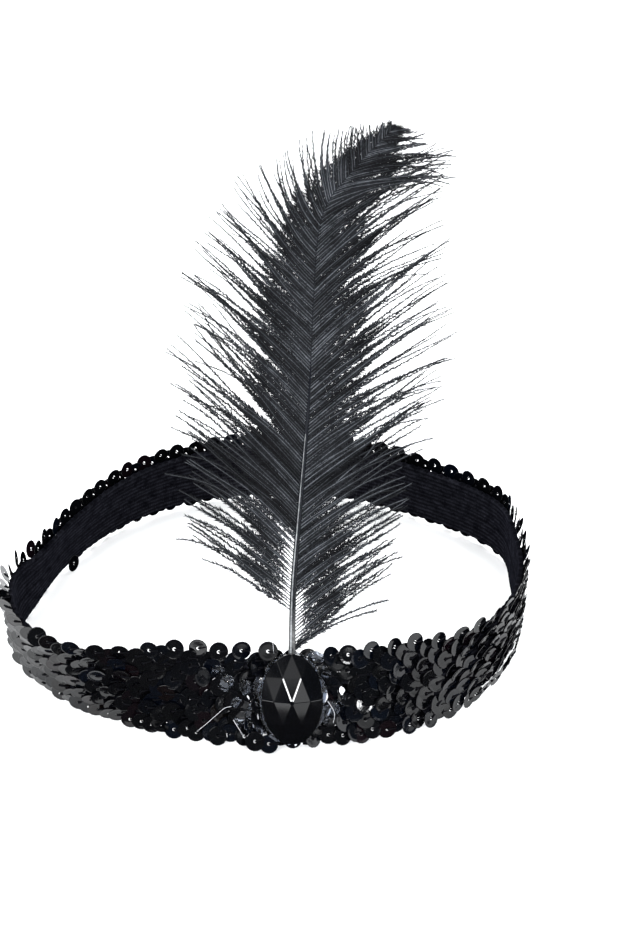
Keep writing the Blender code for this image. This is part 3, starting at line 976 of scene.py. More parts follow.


# The glue: clear hot-melt, spread under the stone by hand. It squeezed out round the stone's edge,
# ran over the sequins beside it in glassy smears, went cloudy in places and pulled thin strings.
# The white flecks right of the stone are painted glints, made of the same milky glue.
STONE_WIDTH = 0.020
STONE_HEIGHT = 0.030
STONE_RAISE = 0.0010
STONE_MIDDLE = TRIM_WIDTH / 2 + STONE_RAISE
STONE_TOP = STONE_MIDDLE + STONE_HEIGHT / 2
FRONT_WALL = loop_walls(FRAME_COLUMNS, SHIFT)[0]
GLUE_DEPTH = 0.0032
BEAD_STEPS = 72
BEAD_SIDES = 10
BEAD_RADIUS = 0.00012
BEAD_SWELL = 0.0013
BEAD_SWELL_ANGLE = math.radians(228)
BEAD_LUMPS = 0.00012
BEAD_PACE = 2.6
BEAD_START = Vector((0, 0, 4.0))
BEAD_DIP = -0.5
BEAD_SWELL_POWER = 4
BEAD_OUTSET = 0.45
BEAD_FLATNESS = 0.8
DAB_DEPTH = SEQUIN_DEPTH + 0.0009
DAB_LUMPS = 0.42
DAB_PACE = 1.7
DAB_STEP = Vector((3.1, 0, 0))
DAB_RIPPLES = 0.16
RIPPLE_PACE = 3.2
CLEAR_FINENESS = 4
CLOUDY_AND_GLINT_FINENESS = 3
NEAR_COLUMNS = 1040
MERGE_REACH = 0.000002
FLAT_ANGLE = math.radians(0.5)
STRING_SIDES = 5
STRING_STEPS = 6

# A dab of glue: how far it lies along the loop from the stone's middle and up the wall, its half
# width, half height and half thickness, and its tilt in degrees. All lengths are millimetres
Dab = namedtuple("Dab", "along height wide tall thick tilt")
CLEAR_DABS = rows_of(Dab, [
    (-11.5, 18.5, 1.7, 4.4, 0.7, 8),
    (-13.8, 12.5, 2.2, 3.6, 0.6, -25),
    (-16.6, 20.5, 2.4, 2.6, 0.6, 30),
    (-11.4, 6.6, 1.6, 3.0, 0.8, 20),
    (-14.8, 6.8, 1.3, 2.2, 0.6, -35),
    (-23.5, 20.8, 3.4, 2.2, 0.5, 30),
    (-26.5, 25.5, 2.0, 1.6, 0.5, -10),
    (-19.2, 15.0, 1.8, 1.4, 0.5, 60),
    (-17.8, 8.6, 2.4, 1.0, 0.5, 10),
    (9.2, 30.6, 2.6, 1.5, 0.6, -20),
    (12.6, 25.4, 1.8, 2.0, 0.5, 15),
    (13.8, 13.2, 2.4, 2.8, 0.6, -10),
    (11.6, 8.6, 1.5, 1.8, 0.7, 20),
    (17.4, 15.6, 1.6, 2.0, 0.5, 35),
    (-7.6, 33.0, 0.5, 1.3, 0.4, 8),
])
# Whitish dabs: those right of the stone are painted glints, the rest bits of set glue gone milky
CLOUDY_DABS_AND_GLINTS = rows_of(Dab, [
    (9.6, 25.6, 0.9, 0.6, 0.35, -20),
    (10.3, 22.0, 0.40, 1.2, 0.35, 5),
    (11.6, 17.2, 0.95, 1.9, 0.40, -12),
    (17.0, 18.4, 1.10, 1.6, 0.35, -18),
    (12.4, 11.8, 0.25, 1.4, 0.30, -25),
    (1.0, 1.8, 0.45, 0.9, 0.45, 0),
    (2.9, 1.9, 0.30, 0.9, 0.40, 0),
    (-0.9, 2.2, 0.7, 0.5, 0.45, 0),
    (-15.2, 16.8, 0.20, 0.7, 0.25, 30),
    (-13.0, 8.0, 0.16, 1.2, 0.25, 12),
    (-17.2, 9.0, 0.9, 0.18, 0.25, 10),
    (-11.4, 10.6, 0.14, 1.1, 0.25, 6),
    (8.0, 29.6, 0.5, 0.5, 0.30, 0),
])

# Points of the strings of glue: along the loop, up the wall and out from it, in millimetres
StringPoint = namedtuple("StringPoint", "along height depth")
GLUE_STRINGS = [
    rows_of(StringPoint, string)
    for string in (
        [(-31.2, 4.6, 3.4), (-28.0, 8.2, 4.4), (-25.0, 11.4, 4.6), (-22.6, 13.2, 3.8), (-20.8, 13.6, 2.8)],
        [(-19.6, 9.2, 3.2), (-17.8, 6.8, 4.2), (-15.6, 3.4, 3.2)],
        [(-13.0, 34.6, 2.4), (-10.6, 35.4, 3.0), (-8.6, 37.2, 3.4), (-7.2, 35.8, 3.4), (-6.4, 32.0, 3.0)],
        [(12.2, 16.0, 3.6), (14.0, 12.0, 3.9), (13.6, 8.4, 3.2)],
    )
]
STRING_RADIUS = 0.00005
GLUE_WALLS = loop_walls(NEAR_COLUMNS, SHIFT)


def near_stone(along, height, depth):
    """A point on the front of the band, and the wall that it lies on."""
    wall = GLUE_WALLS[round(along / LOOP_LENGTH * NEAR_COLUMNS) % NEAR_COLUMNS]
    return on_wall(wall, height, depth), wall


def node_copy(name, node):
    """A merged copy of a CAD node's mesh."""
    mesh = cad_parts[node].data.copy()
    mesh.name = name
    bm = bmesh.new()
    bm.from_mesh(mesh)
    bmesh.ops.remove_doubles(bm, verts=bm.verts, dist=MERGE_REACH)
    bmesh.ops.dissolve_limit(bm, angle_limit=FLAT_ANGLE, verts=bm.verts, edges=bm.edges)
    bm.to_mesh(mesh)
    bm.free()
    return mesh


def clear_glue_material():
    """Clear set glue with fine ripples."""
    material, _, shader = new_material("clear_glue", 0.12, 0.5)
    shader.inputs["Base Color"].default_value = (0.50, 0.54, 0.62, 1)
    shader.inputs["Transmission Weight"].default_value = 1.0
    shader.inputs["IOR"].default_value = 1.30
    ripples = mottled(material, coarse=260, fine=1400, contrast=1.0)
    roughen(material, ripples.outputs["Grain"], strength=0.02, distance=0.0003)
    return material


def cloudy_glue_and_glint_material():
    """Glue that cooled milky white and smooth. On the flecks right of the stone the same white is a
    painted glint.
    """
    material, _, _ = new_material("cloudy_glue", 0.18, 0.5)
    haze = mottled(material, coarse=500, fine=1800, contrast=1.4)
    dye_by(material, haze.outputs["Mask"], dark=(0.55, 0.57, 0.62), light=(0.92, 0.92, 0.94))
    return material


def dabs_mesh(name, dabs, fineness):
    """Flat lumps of glue pressed on the sequins, each an uneven ellipsoid."""
    bm = bmesh.new()
    for index, dab in enumerate(dabs):
        place, wall = near_stone(dab.along / 1000, dab.height / 1000, DAB_DEPTH)
        turn = wall_turn(wall) @ Matrix.Rotation(math.radians(dab.tilt), 3, "Z")
        made = bmesh.ops.create_icosphere(bm, subdivisions=fineness, radius=1.0)
        for vertex in made["verts"]:
            seat = vertex.co * DAB_PACE + DAB_STEP * index
            size = 1 + DAB_LUMPS * noise.noise(seat) + DAB_RIPPLES * noise.noise(seat * RIPPLE_PACE)
            shape = vertex.co * Vector((dab.wide, dab.tall, dab.thick))
            vertex.co = place + turn @ (shape * size / 1000)
    mesh = keep_mesh(bm, name)
    mesh.shade_smooth()
    return mesh


def bead_mesh():
    """The rope of glue that was squeezed out all round the stone, thickest at its lower left."""
    bm = bmesh.new()
    rings = []
    for step in range(BEAD_STEPS):
        angle = 2 * math.pi * step / BEAD_STEPS
        outwards = Vector((math.cos(angle), math.sin(angle), 0))
        lump = noise.noise(outwards * BEAD_PACE + BEAD_START)
        swell = max(math.cos(angle - BEAD_SWELL_ANGLE), 0) ** BEAD_SWELL_POWER
        radius = BEAD_RADIUS + BEAD_LUMPS * max(lump, BEAD_DIP) + BEAD_SWELL * swell
        width = STONE_WIDTH / 2 + radius * BEAD_OUTSET
        height = STONE_HEIGHT / 2 + radius * BEAD_OUTSET
        ring = []
        for side in range(BEAD_SIDES):
            round_angle = 2 * math.pi * side / BEAD_SIDES
            out = radius * math.cos(round_angle)
            rise = radius * math.sin(round_angle) * BEAD_FLATNESS
            across = (width + out) * math.cos(angle)
            up = STONE_MIDDLE + (height + out) * math.sin(angle)
            ring.append(bm.verts.new(on_wall(FRONT_WALL, up, GLUE_DEPTH + rise, across)))
        rings.append(ring)
    join_rings(bm, rings)
    mesh = keep_mesh(bm, "glue_bead")
    mesh.shade_smooth()
    return mesh


def run_on(rows):
    """The rows with one more at each end, in line with the last two."""
    return [2 * rows[0] - rows[1]] + rows + [2 * rows[-1] - rows[-2]]


def spread_glue():
    clear = clear_glue_material()
    cloudy_and_glint = cloudy_glue_and_glint_material()
    for name, mesh, glue in (
        ("glue_bed", node_copy("glue_bed", "glue_pad"), clear),
        ("glue_bead", bead_mesh(), clear),
        ("glue_smears", dabs_mesh("glue_smears", CLEAR_DABS, CLEAR_FINENESS), clear),
        ("glue_flecks", dabs_mesh("glue_flecks", CLOUDY_DABS_AND_GLINTS, CLOUDY_AND_GLINT_FINENESS), cloudy_and_glint),
    ):
        put_on(add_object(name, mesh, glue), "glue_pad")
    lines = []
    for string in GLUE_STRINGS:
        points = [near_stone(p.along / 1000, p.height / 1000, p.depth / 1000)[0] for p in string]
        rows = run_on(points)
        line = []
        for span in range(len(rows) - 3):
            shares = [part / STRING_STEPS for part in range(STRING_STEPS)]
            line += [blend_rows(*rows[span : span + 4], share) for share in shares]
        line.append(points[-1])
        lines.append([(point, STRING_RADIUS) for point in line])
    base = lines_mesh("glue_strings", lines)
    strings = grow("glue_strings", base, DRAWING_TREE, sides=STRING_SIDES, material=cloudy_and_glint)
    put_on(strings, "glue_pad")


spread_glue()


# The stone: a flat-backed oval of polished black acrylic, moulded with six star facets that meet
# in a small table, and glued upright to the front of the band. Its facets' edges are a little soft,
# and two of them are worn wider, so they catch the light.
STONE_EDGE = 0.00010
BRIGHT_EDGE = 0.00025
BRIGHT_ANGLES = (math.radians(60), math.radians(120))
BRIGHT_REACH = 0.0022
BRIGHT_SLACK = 0.2


def stone_material():
    """Polished acrylic with fine handling marks that show only in its gloss."""
    material, tree, shader = new_material("black_acrylic", 0.05, 0.55)
    marks = mottled(material, coarse=220, fine=2600, contrast=1.4).outputs["Mask"]
    dye_by(material, marks, dark=(0.0002, 0.0002, 0.0004), light=(0.0010, 0.0012, 0.0018))
    tree.links.new(ranged(tree, marks, wanted=(0.03, 0.12)), shader.inputs["Roughness"])
    return material


def is_worn(edge):
    """The two edges from the stone's middle up to the left and right, which are worn wider."""
    for near, far in ((0, 1), (1, 0)):
        start = edge.verts[near].co - on_wall(FRONT_WALL, STONE_MIDDLE, 0)
        run = edge.verts[far].co - edge.verts[near].co
        inside = Vector((start.dot(FRONT_WALL.side), start.dot(FRONT_WALL.up))).length < BRIGHT_REACH
        up = run.dot(FRONT_WALL.up) / STONE_HEIGHT
        angle = math.atan2(up, run.dot(FRONT_WALL.side) / STONE_WIDTH)
        if inside and any(abs(angle - bright) < BRIGHT_SLACK for bright in BRIGHT_ANGLES):
            return edge.calc_length() > BRIGHT_REACH
    return False


def soften(bm, edges, width):
    """Bevels the edges, and returns those round the new faces."""
    made = bmesh.ops.bevel(
        bm, geom=edges, offset=width, segments=1, affect="EDGES", clamp_overlap=True
    )
    return {edge for face in made["faces"] for edge in face.edges}


def set_stone():
    mesh = node_copy("faceted_stone", "oval_stone")
    bm = bmesh.new()
    bm.from_mesh(mesh)
    bright = soften(bm, [edge for edge in bm.edges if is_worn(edge)], BRIGHT_EDGE)
    soften(bm, [edge for edge in bm.edges if edge not in bright], STONE_EDGE)
    bm.to_mesh(mesh)
    bm.free()
    put_on(add_object("faceted_stone", mesh, stone_material()), "oval_stone")


set_stone()


# The quill: the plume's bare shaft, dyed black, round and 2.4 mm thick where it is glued behind
# the stone and tapering to a hair at the tip. Its base is scraped, so pale horn shows in flecks,
# and a pale ridge up the front of its lower part is a painted highlight.
PAD_DEPTH = 0.0022
PAD_THICKNESS = 0.0026
QUILL_DEPTH = PAD_DEPTH + PAD_THICKNESS / 2
PLUME_HEIGHT = 0.168
PLUME_SAMPLES = 48
ShaftStation = namedtuple("ShaftStation", "along across forward")
SHAFT_STATIONS = rows_of(ShaftStation, [
    (0.00, 0.000, 0.000),
    (0.13, 0.004, 0.000),
    (0.29, 0.018, -0.006),
    (0.50, 0.037, -0.020),
    (0.69, 0.047, -0.028),
    (0.80, 0.055, -0.022),
    (0.87, 0.075, -0.010),
    (0.93, 0.125, 0.012),
    (0.97, 0.165, 0.038),
    (1.00, 0.200, 0.075),
])
QUILL_RADIUS = 0.0012
QUILL_TIP_RADIUS = 0.0003
QUILL_TAPER = 0.8
QUILL_TUCK = 0.008
QUILL_SIDES = 14
RIDGE_SAMPLES = 20
RIDGE_SIDES = 6
RIDGE_RADIUS = 0.00032
RIDGE_TAPER = 0.75
RIDGE_ASIDE = 0.30
RIDGE_AHEAD = 0.88
SCRAPED_HEIGHTS = (0.044, 0.036)
GLOSSY_HEIGHTS = (0.105, 0.060)
QUILL_GLOSS = 0.5


def shaft_points():
    rows = [Vector((s.across, s.along, s.forward)) * PLUME_HEIGHT for s in SHAFT_STATIONS]
    rows = run_on(rows)
    foot = Matrix.Translation(on_wall(FRONT_WALL, STONE_TOP, QUILL_DEPTH))
    place = foot @ wall_turn(FRONT_WALL).to_4x4()
    spans = len(rows) - 3
    count = PLUME_SAMPLES * 4
    points = []
    for index in range(count + 1):
        whole = index * spans / count
        span = min(int(whole), spans - 1)
        points.append(place @ blend_rows(*rows[span : span + 4], whole - span))
    return points


def even_points(points, count):
    lengths = [(b - a).length for a, b in zip(points, points[1:])]
    total = sum(lengths)
    evened = []
    passed = 0.0
    for start, end, length in zip(points, points[1:], lengths):
        while len(evened) < count and len(evened) * total / count <= passed + length:
            evened.append(start.lerp(end, (len(evened) * total / count - passed) / length))
        passed += length
    return evened + [points[-1]]


SHAFT = even_points(shaft_points(), PLUME_SAMPLES)


def quill_radius(share):
    return QUILL_RADIUS + (QUILL_TIP_RADIUS - QUILL_RADIUS) * share**QUILL_TAPER


def quill_material():
    """Dyed horn: black, glossy and scraped in pale flecks low down, dull further up."""
    material, tree, shader = new_material("dyed_quill", 0.20, 0.5)
    dye = mottled(material, coarse=420, fine=1500, contrast=3.0)
    split = tree.nodes.new("ShaderNodeSeparateXYZ")
    spot = tree.nodes.new("ShaderNodeTexCoord")
    tree.links.new(spot.outputs["Object"], split.inputs["Vector"])
    height = split.outputs["Z"]
    scraped = math_node(tree, "MULTIPLY", dye.outputs["Mask"], ranged(tree, height, SCRAPED_HEIGHTS))
    dye_by(material, scraped, dark=(0.007, 0.008, 0.010), light=(0.13, 0.13, 0.13))
    gloss = math_node(tree, "MULTIPLY", ranged(tree, height, GLOSSY_HEIGHTS), QUILL_GLOSS)
    tree.links.new(gloss, shader.inputs["Specular IOR Level"])
    roughen(material, dye.outputs["Grain"], strength=0.35, distance=0.0003)
    return material


def painted_highlight_material():
    """A painted highlight: pale grey, mottled in flecks."""
    material, _, _ = new_material("pale_horn", 0.45, 0.3)
    dye = mottled(material, coarse=300, fine=1500, contrast=2.6)
    dye_by(material, dye.outputs["Mask"], dark=(0.045, 0.048, 0.052), light=(0.30, 0.31, 0.32))
    return material


def make_quill():
    line = [(SHAFT[0] - FRONT_WALL.up * QUILL_TUCK, QUILL_RADIUS)]
    line += [(point, quill_radius(index / PLUME_SAMPLES)) for index, point in enumerate(SHAFT)]
    base = lines_mesh("bare_quill", [line])
    quill = grow("bare_quill", base, DRAWING_TREE, sides=QUILL_SIDES, material=quill_material())
    put_on(quill, "feather_quill")


def make_highlight_ridge():
    """The pale ridge along the front of the shaft's lower part, a painted highlight."""
    line = []
    for index, point in enumerate(SHAFT[:RIDGE_SAMPLES]):
        radius = quill_radius(index / PLUME_SAMPLES)
        along = (SHAFT[index + 1] - point).normalized()
        sideways = along.cross(FRONT_WALL.face).normalized()
        aside = sideways.cross(along) * RIDGE_AHEAD - sideways * RIDGE_ASIDE
        thickness = RIDGE_RADIUS * (1 - RIDGE_TAPER * index / RIDGE_SAMPLES)
        line.append((point + aside * radius, thickness))
    base = lines_mesh("quill_ridge", [line])
    ridge = grow("quill_ridge", base, DRAWING_TREE, sides=RIDGE_SIDES, material=painted_highlight_material())
    put_on(ridge, "feather_quill")


make_quill()
make_highlight_ridge()


# The barbs: several hundred soft strands on both sides of the shaft, dyed black. Low down they
# stand apart like a comb, further out they gather into locks, and each carries short fluff all
# along, as an ostrich plume does.
VaneSide = namedtuple("VaneSide", "name node hand start")
VANE_SIDES = [
    VaneSide("left", "feather_vane_left", -1, 0.075),
    VaneSide("right", "feather_vane_right", 1, 0.015),
]
VANE_END = 0.985
BARBS_PER_SIDE = 150
LOCKS_PER_SIDE = 21
LOCK_SPREAD = 0.006
LOCK_TURN = 2.4

# Barbs along the shaft: their length on the left and right in millimetres, and the angles from the
# shaft at which they leave it and end, in degrees
BarbStation = namedtuple("BarbStation", "along left left_leave left_end right right_leave right_end")
BARB_STATIONS = rows_of(BarbStation, [
    (0.00, 37, 52, 58, 39, 50, 58),
    (0.10, 43, 52, 62, 42, 48, 60),
    (0.20, 49, 48, 62, 45, 46, 62),
    (0.27, 58, 46, 62, 50, 46, 60),
    (0.36, 57, 46, 61, 55, 46, 59),
    (0.50, 52, 46, 57, 56, 44, 59),
    (0.60, 47, 48, 54, 54, 42, 60),
    (0.66, 40, 48, 44, 53, 42, 60),
    (0.72, 34, 50, 24, 52, 40, 62),
    (0.79, 25, 50, 18, 46, 36, 58),
    (0.87, 16, 44, 32, 35, 28, 48),
    (0.94, 7.5, 48, 44, 17, 26, 46),
    (1.00, 2.2, 30, 24, 4, 28, 44),
])
STRAND_SIZES = (1, 1, 2, 2, 3, 4)
STRAND_TURN = math.radians(9)
STRAND_LENGTHS = (0.90, 1.06)
STRAND_GATHER = (0.45, 0.9)
LOW_END = 0.20
LOW_FADE = 0.2
LOW_LOOSE = 0.4
FULL_SLACK = 0.045
STRAND_DRIFT = 0.0034
BARB_STEPS = 14
BARB_RADIUS = 0.00019
BARB_TIP_RADIUS = 0.00015
BARB_LENGTHS = (0.74, 1.04)
BARB_GATHER = (0.75, 1.0)
GATHER_START = 0.22
GATHER_END = 0.85
STRAY_SHARE = 0.20
STRAY_TURN = math.radians(26)
STRAY_GATHER = (0.0, 0.2)
STRAY_DRIFT = 0.2
ROOT_TUCK = 0.0014
ROOT_ASIDE = 0.8
BARB_WAVE = 0.0007
BARB_PACES = (4, 10)
TIP_SHADE = 0.6
BARB_SIDES = 3
BARB_SEED = 5

# From here up the barbs' roots creep from the shaft's side over its front
COVER_START = 0.30
COVER_RUN = 0.25
COVER_ASIDE = 0.5
COVER_AHEAD = 0.95

# Two coats of fluff: how many of a barb's steps they cover, how far apart their hairs stand, the
# hairs' length, half width and half thickness in millimetres, how far they lean out, and how far
# they turn behind and in front of the vane, in degrees
Coat = namedtuple("Coat", "name steps spacing length width thickness lean behind ahead")
COATS = [
    Coat("down", 9, 0.118, 2.8, 0.22, 0.05, 36, -48, 4),
    Coat("fringe", BARB_STEPS, 0.165, 2.1, 0.16, 0.05, 30, -44, 6),
]
HAIR_SIDES = 3
HAIR_LEANS = (0.5, 1.5)
HAIR_LENGTHS = (0.5, 1.4)
FLUFF_LENGTHS = (0.7, 1.2)

# How far up the shaft the barbs' roots stand bare, like a comb, before fluff fills them, and where
# they show once more
COMB_END = {"left": 0.19, "right": 0.09}
COMB_FADE = 0.05
COMB_FLUFF = 0.10
COMB_FILL = 1.1
COMB_GAP = 0.305
COMB_GAP_WIDTH = 0.016
COMB_GAP_DEPTH = 0.8

# Shares of a barb's length: where its fluff is full-grown, thins out and runs to a point
FLUFF_GROWN = 0.24
THIN_START = 0.35
THIN_RUN = 0.5
POINT_START = 0.72
POINT_LOSS = 0.55

# Up to here on the shaft it stays long to the barbs' tips; above, their outer halves stand thin
FULL_END = 0.30
FULL_FADE = 0.2
FULL_LEAD = 0.3
LOW_THIN = 0.10
HIGH_THIN = 0.35

# Barbs that stand alone below the others: how far up the shaft they leave it, their length as a
# share of the barbs' there, and how much further out they bend, in degrees
LoneBarb = namedtuple("LoneBarb", "side along reach turn")
LONE_BARBS = [
    LoneBarb("right", 0.012, 0.87, 17),
    LoneBarb("right", 0.006, 0.76, 19),
]
LONE_RADIUS = 0.00026
LONE_FLUFF = 0.7
LONE_SHADE = 0.3


def smooth_step(value):
    value = min(max(value, 0.0), 1.0)
    return value * value * (3 - 2 * value)


def table_value(rows, column, along):
    for low, high in zip(rows, rows[1:]):
        if along <= high.along:
            break
    share = min(max((along - low.along) / (high.along - low.along), 0.0), 1.0)
    return getattr(low, column) * (1 - share) + getattr(high, column) * share


def shaft_frame(share):
    whole = share * (len(SHAFT) - 1)
    index = min(int(whole), len(SHAFT) - 2)
    place = SHAFT[index].lerp(SHAFT[index + 1], whole - index)
    before = SHAFT[max(index - 1, 0)]
    after = SHAFT[min(index + 2, len(SHAFT) - 1)]
    along = (after - before).normalized()
    sideways = along.cross(FRONT_WALL.face).normalized()
    return place, along, sideways, sideways.cross(along)


def barb_line(side, share, reach=1.0, turn=0.0):
    """One barb in the vane's plane: its points, and the direction that the vane faces there."""
    place, along, sideways, front = shaft_frame(share)
    length = table_value(BARB_STATIONS, side.name, share) / 1000 * reach
    leave = math.radians(table_value(BARB_STATIONS, side.name + "_leave", share))
    end = math.radians(table_value(BARB_STATIONS, side.name + "_end", share)) + turn
    cover = smooth_step((share - COVER_START) / COVER_RUN)
    radius = quill_radius(share)
    point = place + sideways * side.hand * radius * (ROOT_ASIDE - COVER_ASIDE * cover)
    point += front * radius * COVER_AHEAD * cover
    points = [point]
    for step in range(BARB_STEPS):
        angle = leave + (end - leave) * (step + 0.5) / BARB_STEPS
        heading = along * math.cos(angle) + sideways * side.hand * math.sin(angle)
        point = point + heading * length / BARB_STEPS
        points.append(point)
    return points, front


BarbPoint = namedtuple("BarbPoint", "place thickness front fluff shade")


def fluff_length(side, share, t):
    """How long the fluff is, to 1: short at the root low down, and shorter towards the tip."""
    root = COMB_FLUFF + COMB_FILL * smooth_step((share - COMB_END[side.name]) / COMB_FADE)
    root *= 1 - COMB_GAP_DEPTH * math.exp(-(((share - COMB_GAP) / COMB_GAP_WIDTH) ** 2))
    grown = root + (1 - root) * smooth_step(t / FLUFF_GROWN)
    thin = LOW_THIN + HIGH_THIN * smooth_step((share - FULL_END) / FULL_FADE + FULL_LEAD)
    pointed = 1 - POINT_LOSS * smooth_step((t - POINT_START) / (1 - POINT_START))
    return grown * (1 - thin * smooth_step((t - THIN_START) / THIN_RUN)) * pointed


def bent_barb(draw, side, share, guide, swing, drift, gathered):
    """One barb that is drawn to its strand's guide line, or that strays from it."""
    stray = draw.random() < STRAY_SHARE
    turn = draw.uniform(-1, 1) * (STRAY_TURN if stray else STRAND_TURN / 2)
    own, front = barb_line(side, share, draw.uniform(*BARB_LENGTHS), turn)
    gather = draw.uniform(*STRAY_GATHER) if stray else gathered * draw.uniform(*BARB_GATHER)
    phase = draw.uniform(0, 2 * math.pi)
    pace = draw.uniform(*BARB_PACES)
    shade = draw.random()
    slack = min((own[-1] - own[0]).length / FULL_SLACK, 1)
    line = []
    for step, point in enumerate(own):
        t = step / BARB_STEPS
        far = t * t * slack
        wave = BARB_WAVE * t * slack
        ahead = (own[min(step + 1, BARB_STEPS)] - own[max(step - 1, 0)]).normalized()
        beside = ahead.cross(front)
        pull = smooth_step((t - GATHER_START) / (GATHER_END - GATHER_START)) * gather
        moved = point.lerp(guide[step], pull)
        moved += front * swing * far
        moved += beside * (drift * far * (STRAY_DRIFT if stray else 1.0))
        moved += beside * (math.sin(phase + pace * t) - math.sin(phase)) * wave
        moved += front * math.cos(phase + pace * t) * wave
        thickness = BARB_RADIUS + (BARB_TIP_RADIUS - BARB_RADIUS) * t
        fluff = fluff_length(side, share, t) * draw.uniform(*FLUFF_LENGTHS)
        line.append(BarbPoint(moved, thickness, front, fluff, shade * (1 - TIP_SHADE * t)))
    return line


def barb_lines(side):
    """All the barbs of one side, gathered into strands that swing out of the vane's plane as the
    solid's locks do."""
    draw = random.Random(BARB_SEED + side.hand)
    reach = VANE_END - side.start
    lines = []
    while len(lines) < BARBS_PER_SIDE:
        size = draw.choice(STRAND_SIZES)
        middle = side.start + reach * min((len(lines) + size / 2) / BARBS_PER_SIDE, 1)
        firm = LOW_LOOSE + (1 - LOW_LOOSE) * smooth_step((middle - LOW_END) / LOW_FADE)
        turn = draw.uniform(-1, 1) * STRAND_TURN * firm
        guide, _ = barb_line(side, middle, draw.uniform(*STRAND_LENGTHS), turn)
        lock = int((middle - side.start) / reach * LOCKS_PER_SIDE)
        swing = math.sin(lock * LOCK_TURN) * LOCK_SPREAD
        swing += draw.uniform(-0.5, 0.5) * STRAND_DRIFT
        drift = draw.uniform(-1, 1) * STRAND_DRIFT * firm
        gathered = draw.uniform(*STRAND_GATHER) * firm
        for _ in range(size):
            passed = (len(lines) + draw.uniform(0.3, 0.7)) / BARBS_PER_SIDE
            share = side.start + reach * min(passed, 1)
            lines.append(bent_barb(draw, side, share, guide, swing, drift, gathered))
    for lone in LONE_BARBS:
        if lone.side == side.name:
            points, front = barb_line(side, lone.along, lone.reach, math.radians(lone.turn))
            look = (LONE_RADIUS, front, LONE_FLUFF, LONE_SHADE)
            lines.append([BarbPoint(point, *look) for point in points])
    return lines


def fluff_tree():
    """Short tapered hairs on both sides of a strand, leaning to its tip, in the vane's plane."""
    sockets = [
        ("Spacing", "NodeSocketFloat", 0.0003),
        ("Hair Length", "NodeSocketFloat", 0.0015),
        ("Hair Width", "NodeSocketFloat", 0.00008),
        ("Hair Thickness", "NodeSocketFloat", 0.00004),
        ("Lean", "NodeSocketFloat", 0.5),
        ("Behind", "NodeSocketFloat", -0.8),
        ("Ahead", "NodeSocketFloat", 0.8),
        ("Seed", "NodeSocketInt", 1),
        ("Material", "NodeSocketMaterial", None),
    ]
    tree, given, result = growing_tree("fluff_on_strands", sockets)
    wires = tree.links.new
    new = tree.nodes.new

    def calculate(operation, first, second):
        return math_node(tree, operation, first, second)

    def drawn(low, high, number):
        return random_value(tree, low, high, calculate("ADD", given.outputs["Seed"], number))

    def turned(rotation, axis, angle):
        vector = new("ShaderNodeCombineXYZ")
        wires(angle, vector.inputs[axis])
        euler = new("FunctionNodeEulerToRotation")
        wires(vector.outputs["Vector"], euler.inputs["Euler"])
        turn = new("FunctionNodeRotateRotation")
        turn.rotation_space = "LOCAL"
        wires(rotation, turn.inputs["Rotation"])
        wires(euler.outputs["Rotation"], turn.inputs["Rotate By"])
        return turn.outputs["Rotation"]

    line = new("GeometryNodeMeshToCurve")
    points = new("GeometryNodeCurveToPoints")
    points.mode = "LENGTH"
    hair = new("GeometryNodeMeshCone")
    hair.inputs["Vertices"].default_value = HAIR_SIDES
    hair.inputs["Radius Top"].default_value = 0
    hair.inputs["Radius Bottom"].default_value = 1
    hair.inputs["Depth"].default_value = 1
    axes = new("FunctionNodeAxesToRotation")
    axes.primary_axis = "Z"
    axes.secondary_axis = "X"
    wires(points.outputs["Tangent"], axes.inputs["Primary Axis"])
    wires(read_attribute(tree, "front", "FLOAT_VECTOR"), axes.inputs["Secondary Axis"])
    other_side = calculate("ROUND", drawn(0, 1, 0), 0)
    hand = calculate("ADD", calculate("MULTIPLY", other_side, -2), 1)
    tip = drawn(given.outputs["Behind"], given.outputs["Ahead"], 1)
    half_turn = calculate("MULTIPLY", other_side, math.pi)
    roll = calculate("ADD", half_turn, calculate("MULTIPLY", tip, hand))
    lean = calculate("MULTIPLY", given.outputs["Lean"], drawn(*HAIR_LEANS, 2))
    rotation = turned(turned(axes.outputs["Rotation"], "Z", roll), "X", lean)
    grown = calculate("MULTIPLY", given.outputs["Hair Length"], drawn(*HAIR_LENGTHS, 3))
    length = calculate("MULTIPLY", grown, read_attribute(tree, "fluff", "FLOAT"))
    size = new("ShaderNodeCombineXYZ")
    wires(given.outputs["Hair Thickness"], size.inputs["X"])
    wires(given.outputs["Hair Width"], size.inputs["Y"])
    wires(length, size.inputs["Z"])
    plant = new("GeometryNodeInstanceOnPoints")
    wires(given.outputs["Geometry"], line.inputs["Mesh"])
    wires(line.outputs["Curve"], points.inputs["Curve"])
    wires(given.outputs["Spacing"], points.inputs["Length"])
    wires(points.outputs["Points"], plant.inputs["Points"])
    wires(hair.outputs["Mesh"], plant.inputs["Instance"])
    wires(rotation, plant.inputs["Rotation"])
    wires(size.outputs["Vector"], plant.inputs["Scale"])
    finish_tree(tree, given, result, plant.outputs["Instances"])
    return tree


FLUFF_TREE = fluff_tree()


def barb_material(name, dark, light):
    """Soft dyed keratin, matt black, no two barbs quite the same. Each barb's tone falls towards its tip,
    and on the barbs' own strands its light end is partly painted sheen.
    """
    material, tree, _ = new_material(name, 0.6, 0.12)
    dye = mottled(material, coarse=260, fine=1300, contrast=2.0)
    tone = math_node(tree, "MULTIPLY", dye.outputs["Mask"], carried(tree, "shade"))
    dye_by(material, tone, dark, light)
    return material


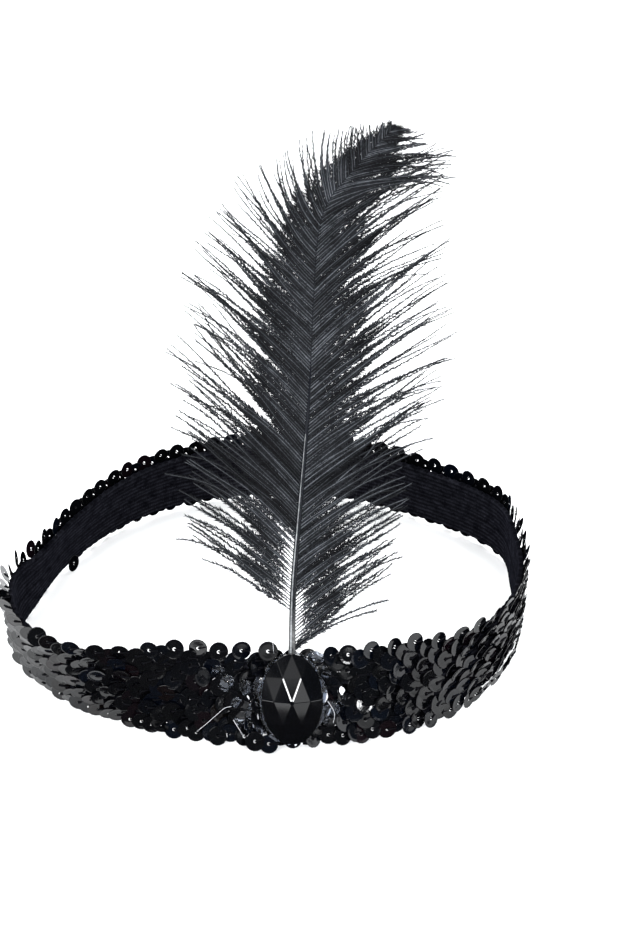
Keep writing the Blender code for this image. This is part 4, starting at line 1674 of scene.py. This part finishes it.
def barb_base(lines):
    """The barbs' lines with each barb's shade."""
    base = lines_mesh("barbs", lines)
    shade = base.attributes.new("shade", "FLOAT", "POINT")
    shade.data.foreach_set("value", [row.shade for line in lines for row in line])
    return base


def fluff_base(lines, steps):
    """The barbs' lines as far as this coat covers them, with what its hairs read from them. A coat
    that stops short starts behind the shaft, and fades out along the barbs."""
    fades = [1] * (steps + 1)
    if steps < BARB_STEPS:
        fades = [1 - smooth_step(step / steps * 2 - 1) for step in range(-1, steps + 1)]
        tucks = [(line[0].place - line[1].place).normalized() * ROOT_TUCK for line in lines]
        starts = [line[0]._replace(place=line[0].place + tuck) for line, tuck in zip(lines, tucks)]
        lines = [[start] + line for start, line in zip(starts, lines)]
    lines = [line[: len(fades)] for line in lines]
    base = barb_base(lines)
    front = base.attributes.new("front", "FLOAT_VECTOR", "POINT")
    front.data.foreach_set("vector", [part for line in lines for row in line for part in row.front])
    fluff = base.attributes.new("fluff", "FLOAT", "POINT")
    lengths = [row.fluff * fade for line in lines for row, fade in zip(line, fades)]
    fluff.data.foreach_set("value", lengths)
    return base


def make_barbs():
    # The barbs' strands: their light tone is partly painted sheen, standing for highlights on the barbs
    barb_dye_and_sheen = barb_material("dyed_barbs", dark=(0.0060, 0.0066, 0.0080), light=(0.150, 0.162, 0.180))
    fluff_dye = barb_material("dyed_fluff", dark=(0.0012, 0.0014, 0.0018), light=(0.024, 0.026, 0.031))
    for side in VANE_SIDES:
        lines = barb_lines(side)
        base = barb_base(lines)
        settings = {"sides": BARB_SIDES, "material": barb_dye_and_sheen}
        put_on(grow(f"barbs_{side.name}", base, DRAWING_TREE, **settings), side.node)
        for coat in COATS:
            settings = {
                "spacing": coat.spacing / 1000,
                "hair_length": coat.length / 1000,
                "hair_width": coat.width / 1000,
                "hair_thickness": coat.thickness / 1000,
                "lean": math.radians(coat.lean),
                "behind": math.radians(coat.behind),
                "ahead": math.radians(coat.ahead),
                "seed": BARB_SEED,
                "material": fluff_dye,
            }
            base = fluff_base(lines, coat.steps)
            fluff = grow(f"{coat.name}_{side.name}", base, FLUFF_TREE, **settings)
            put_on(fluff, side.node)


make_barbs()
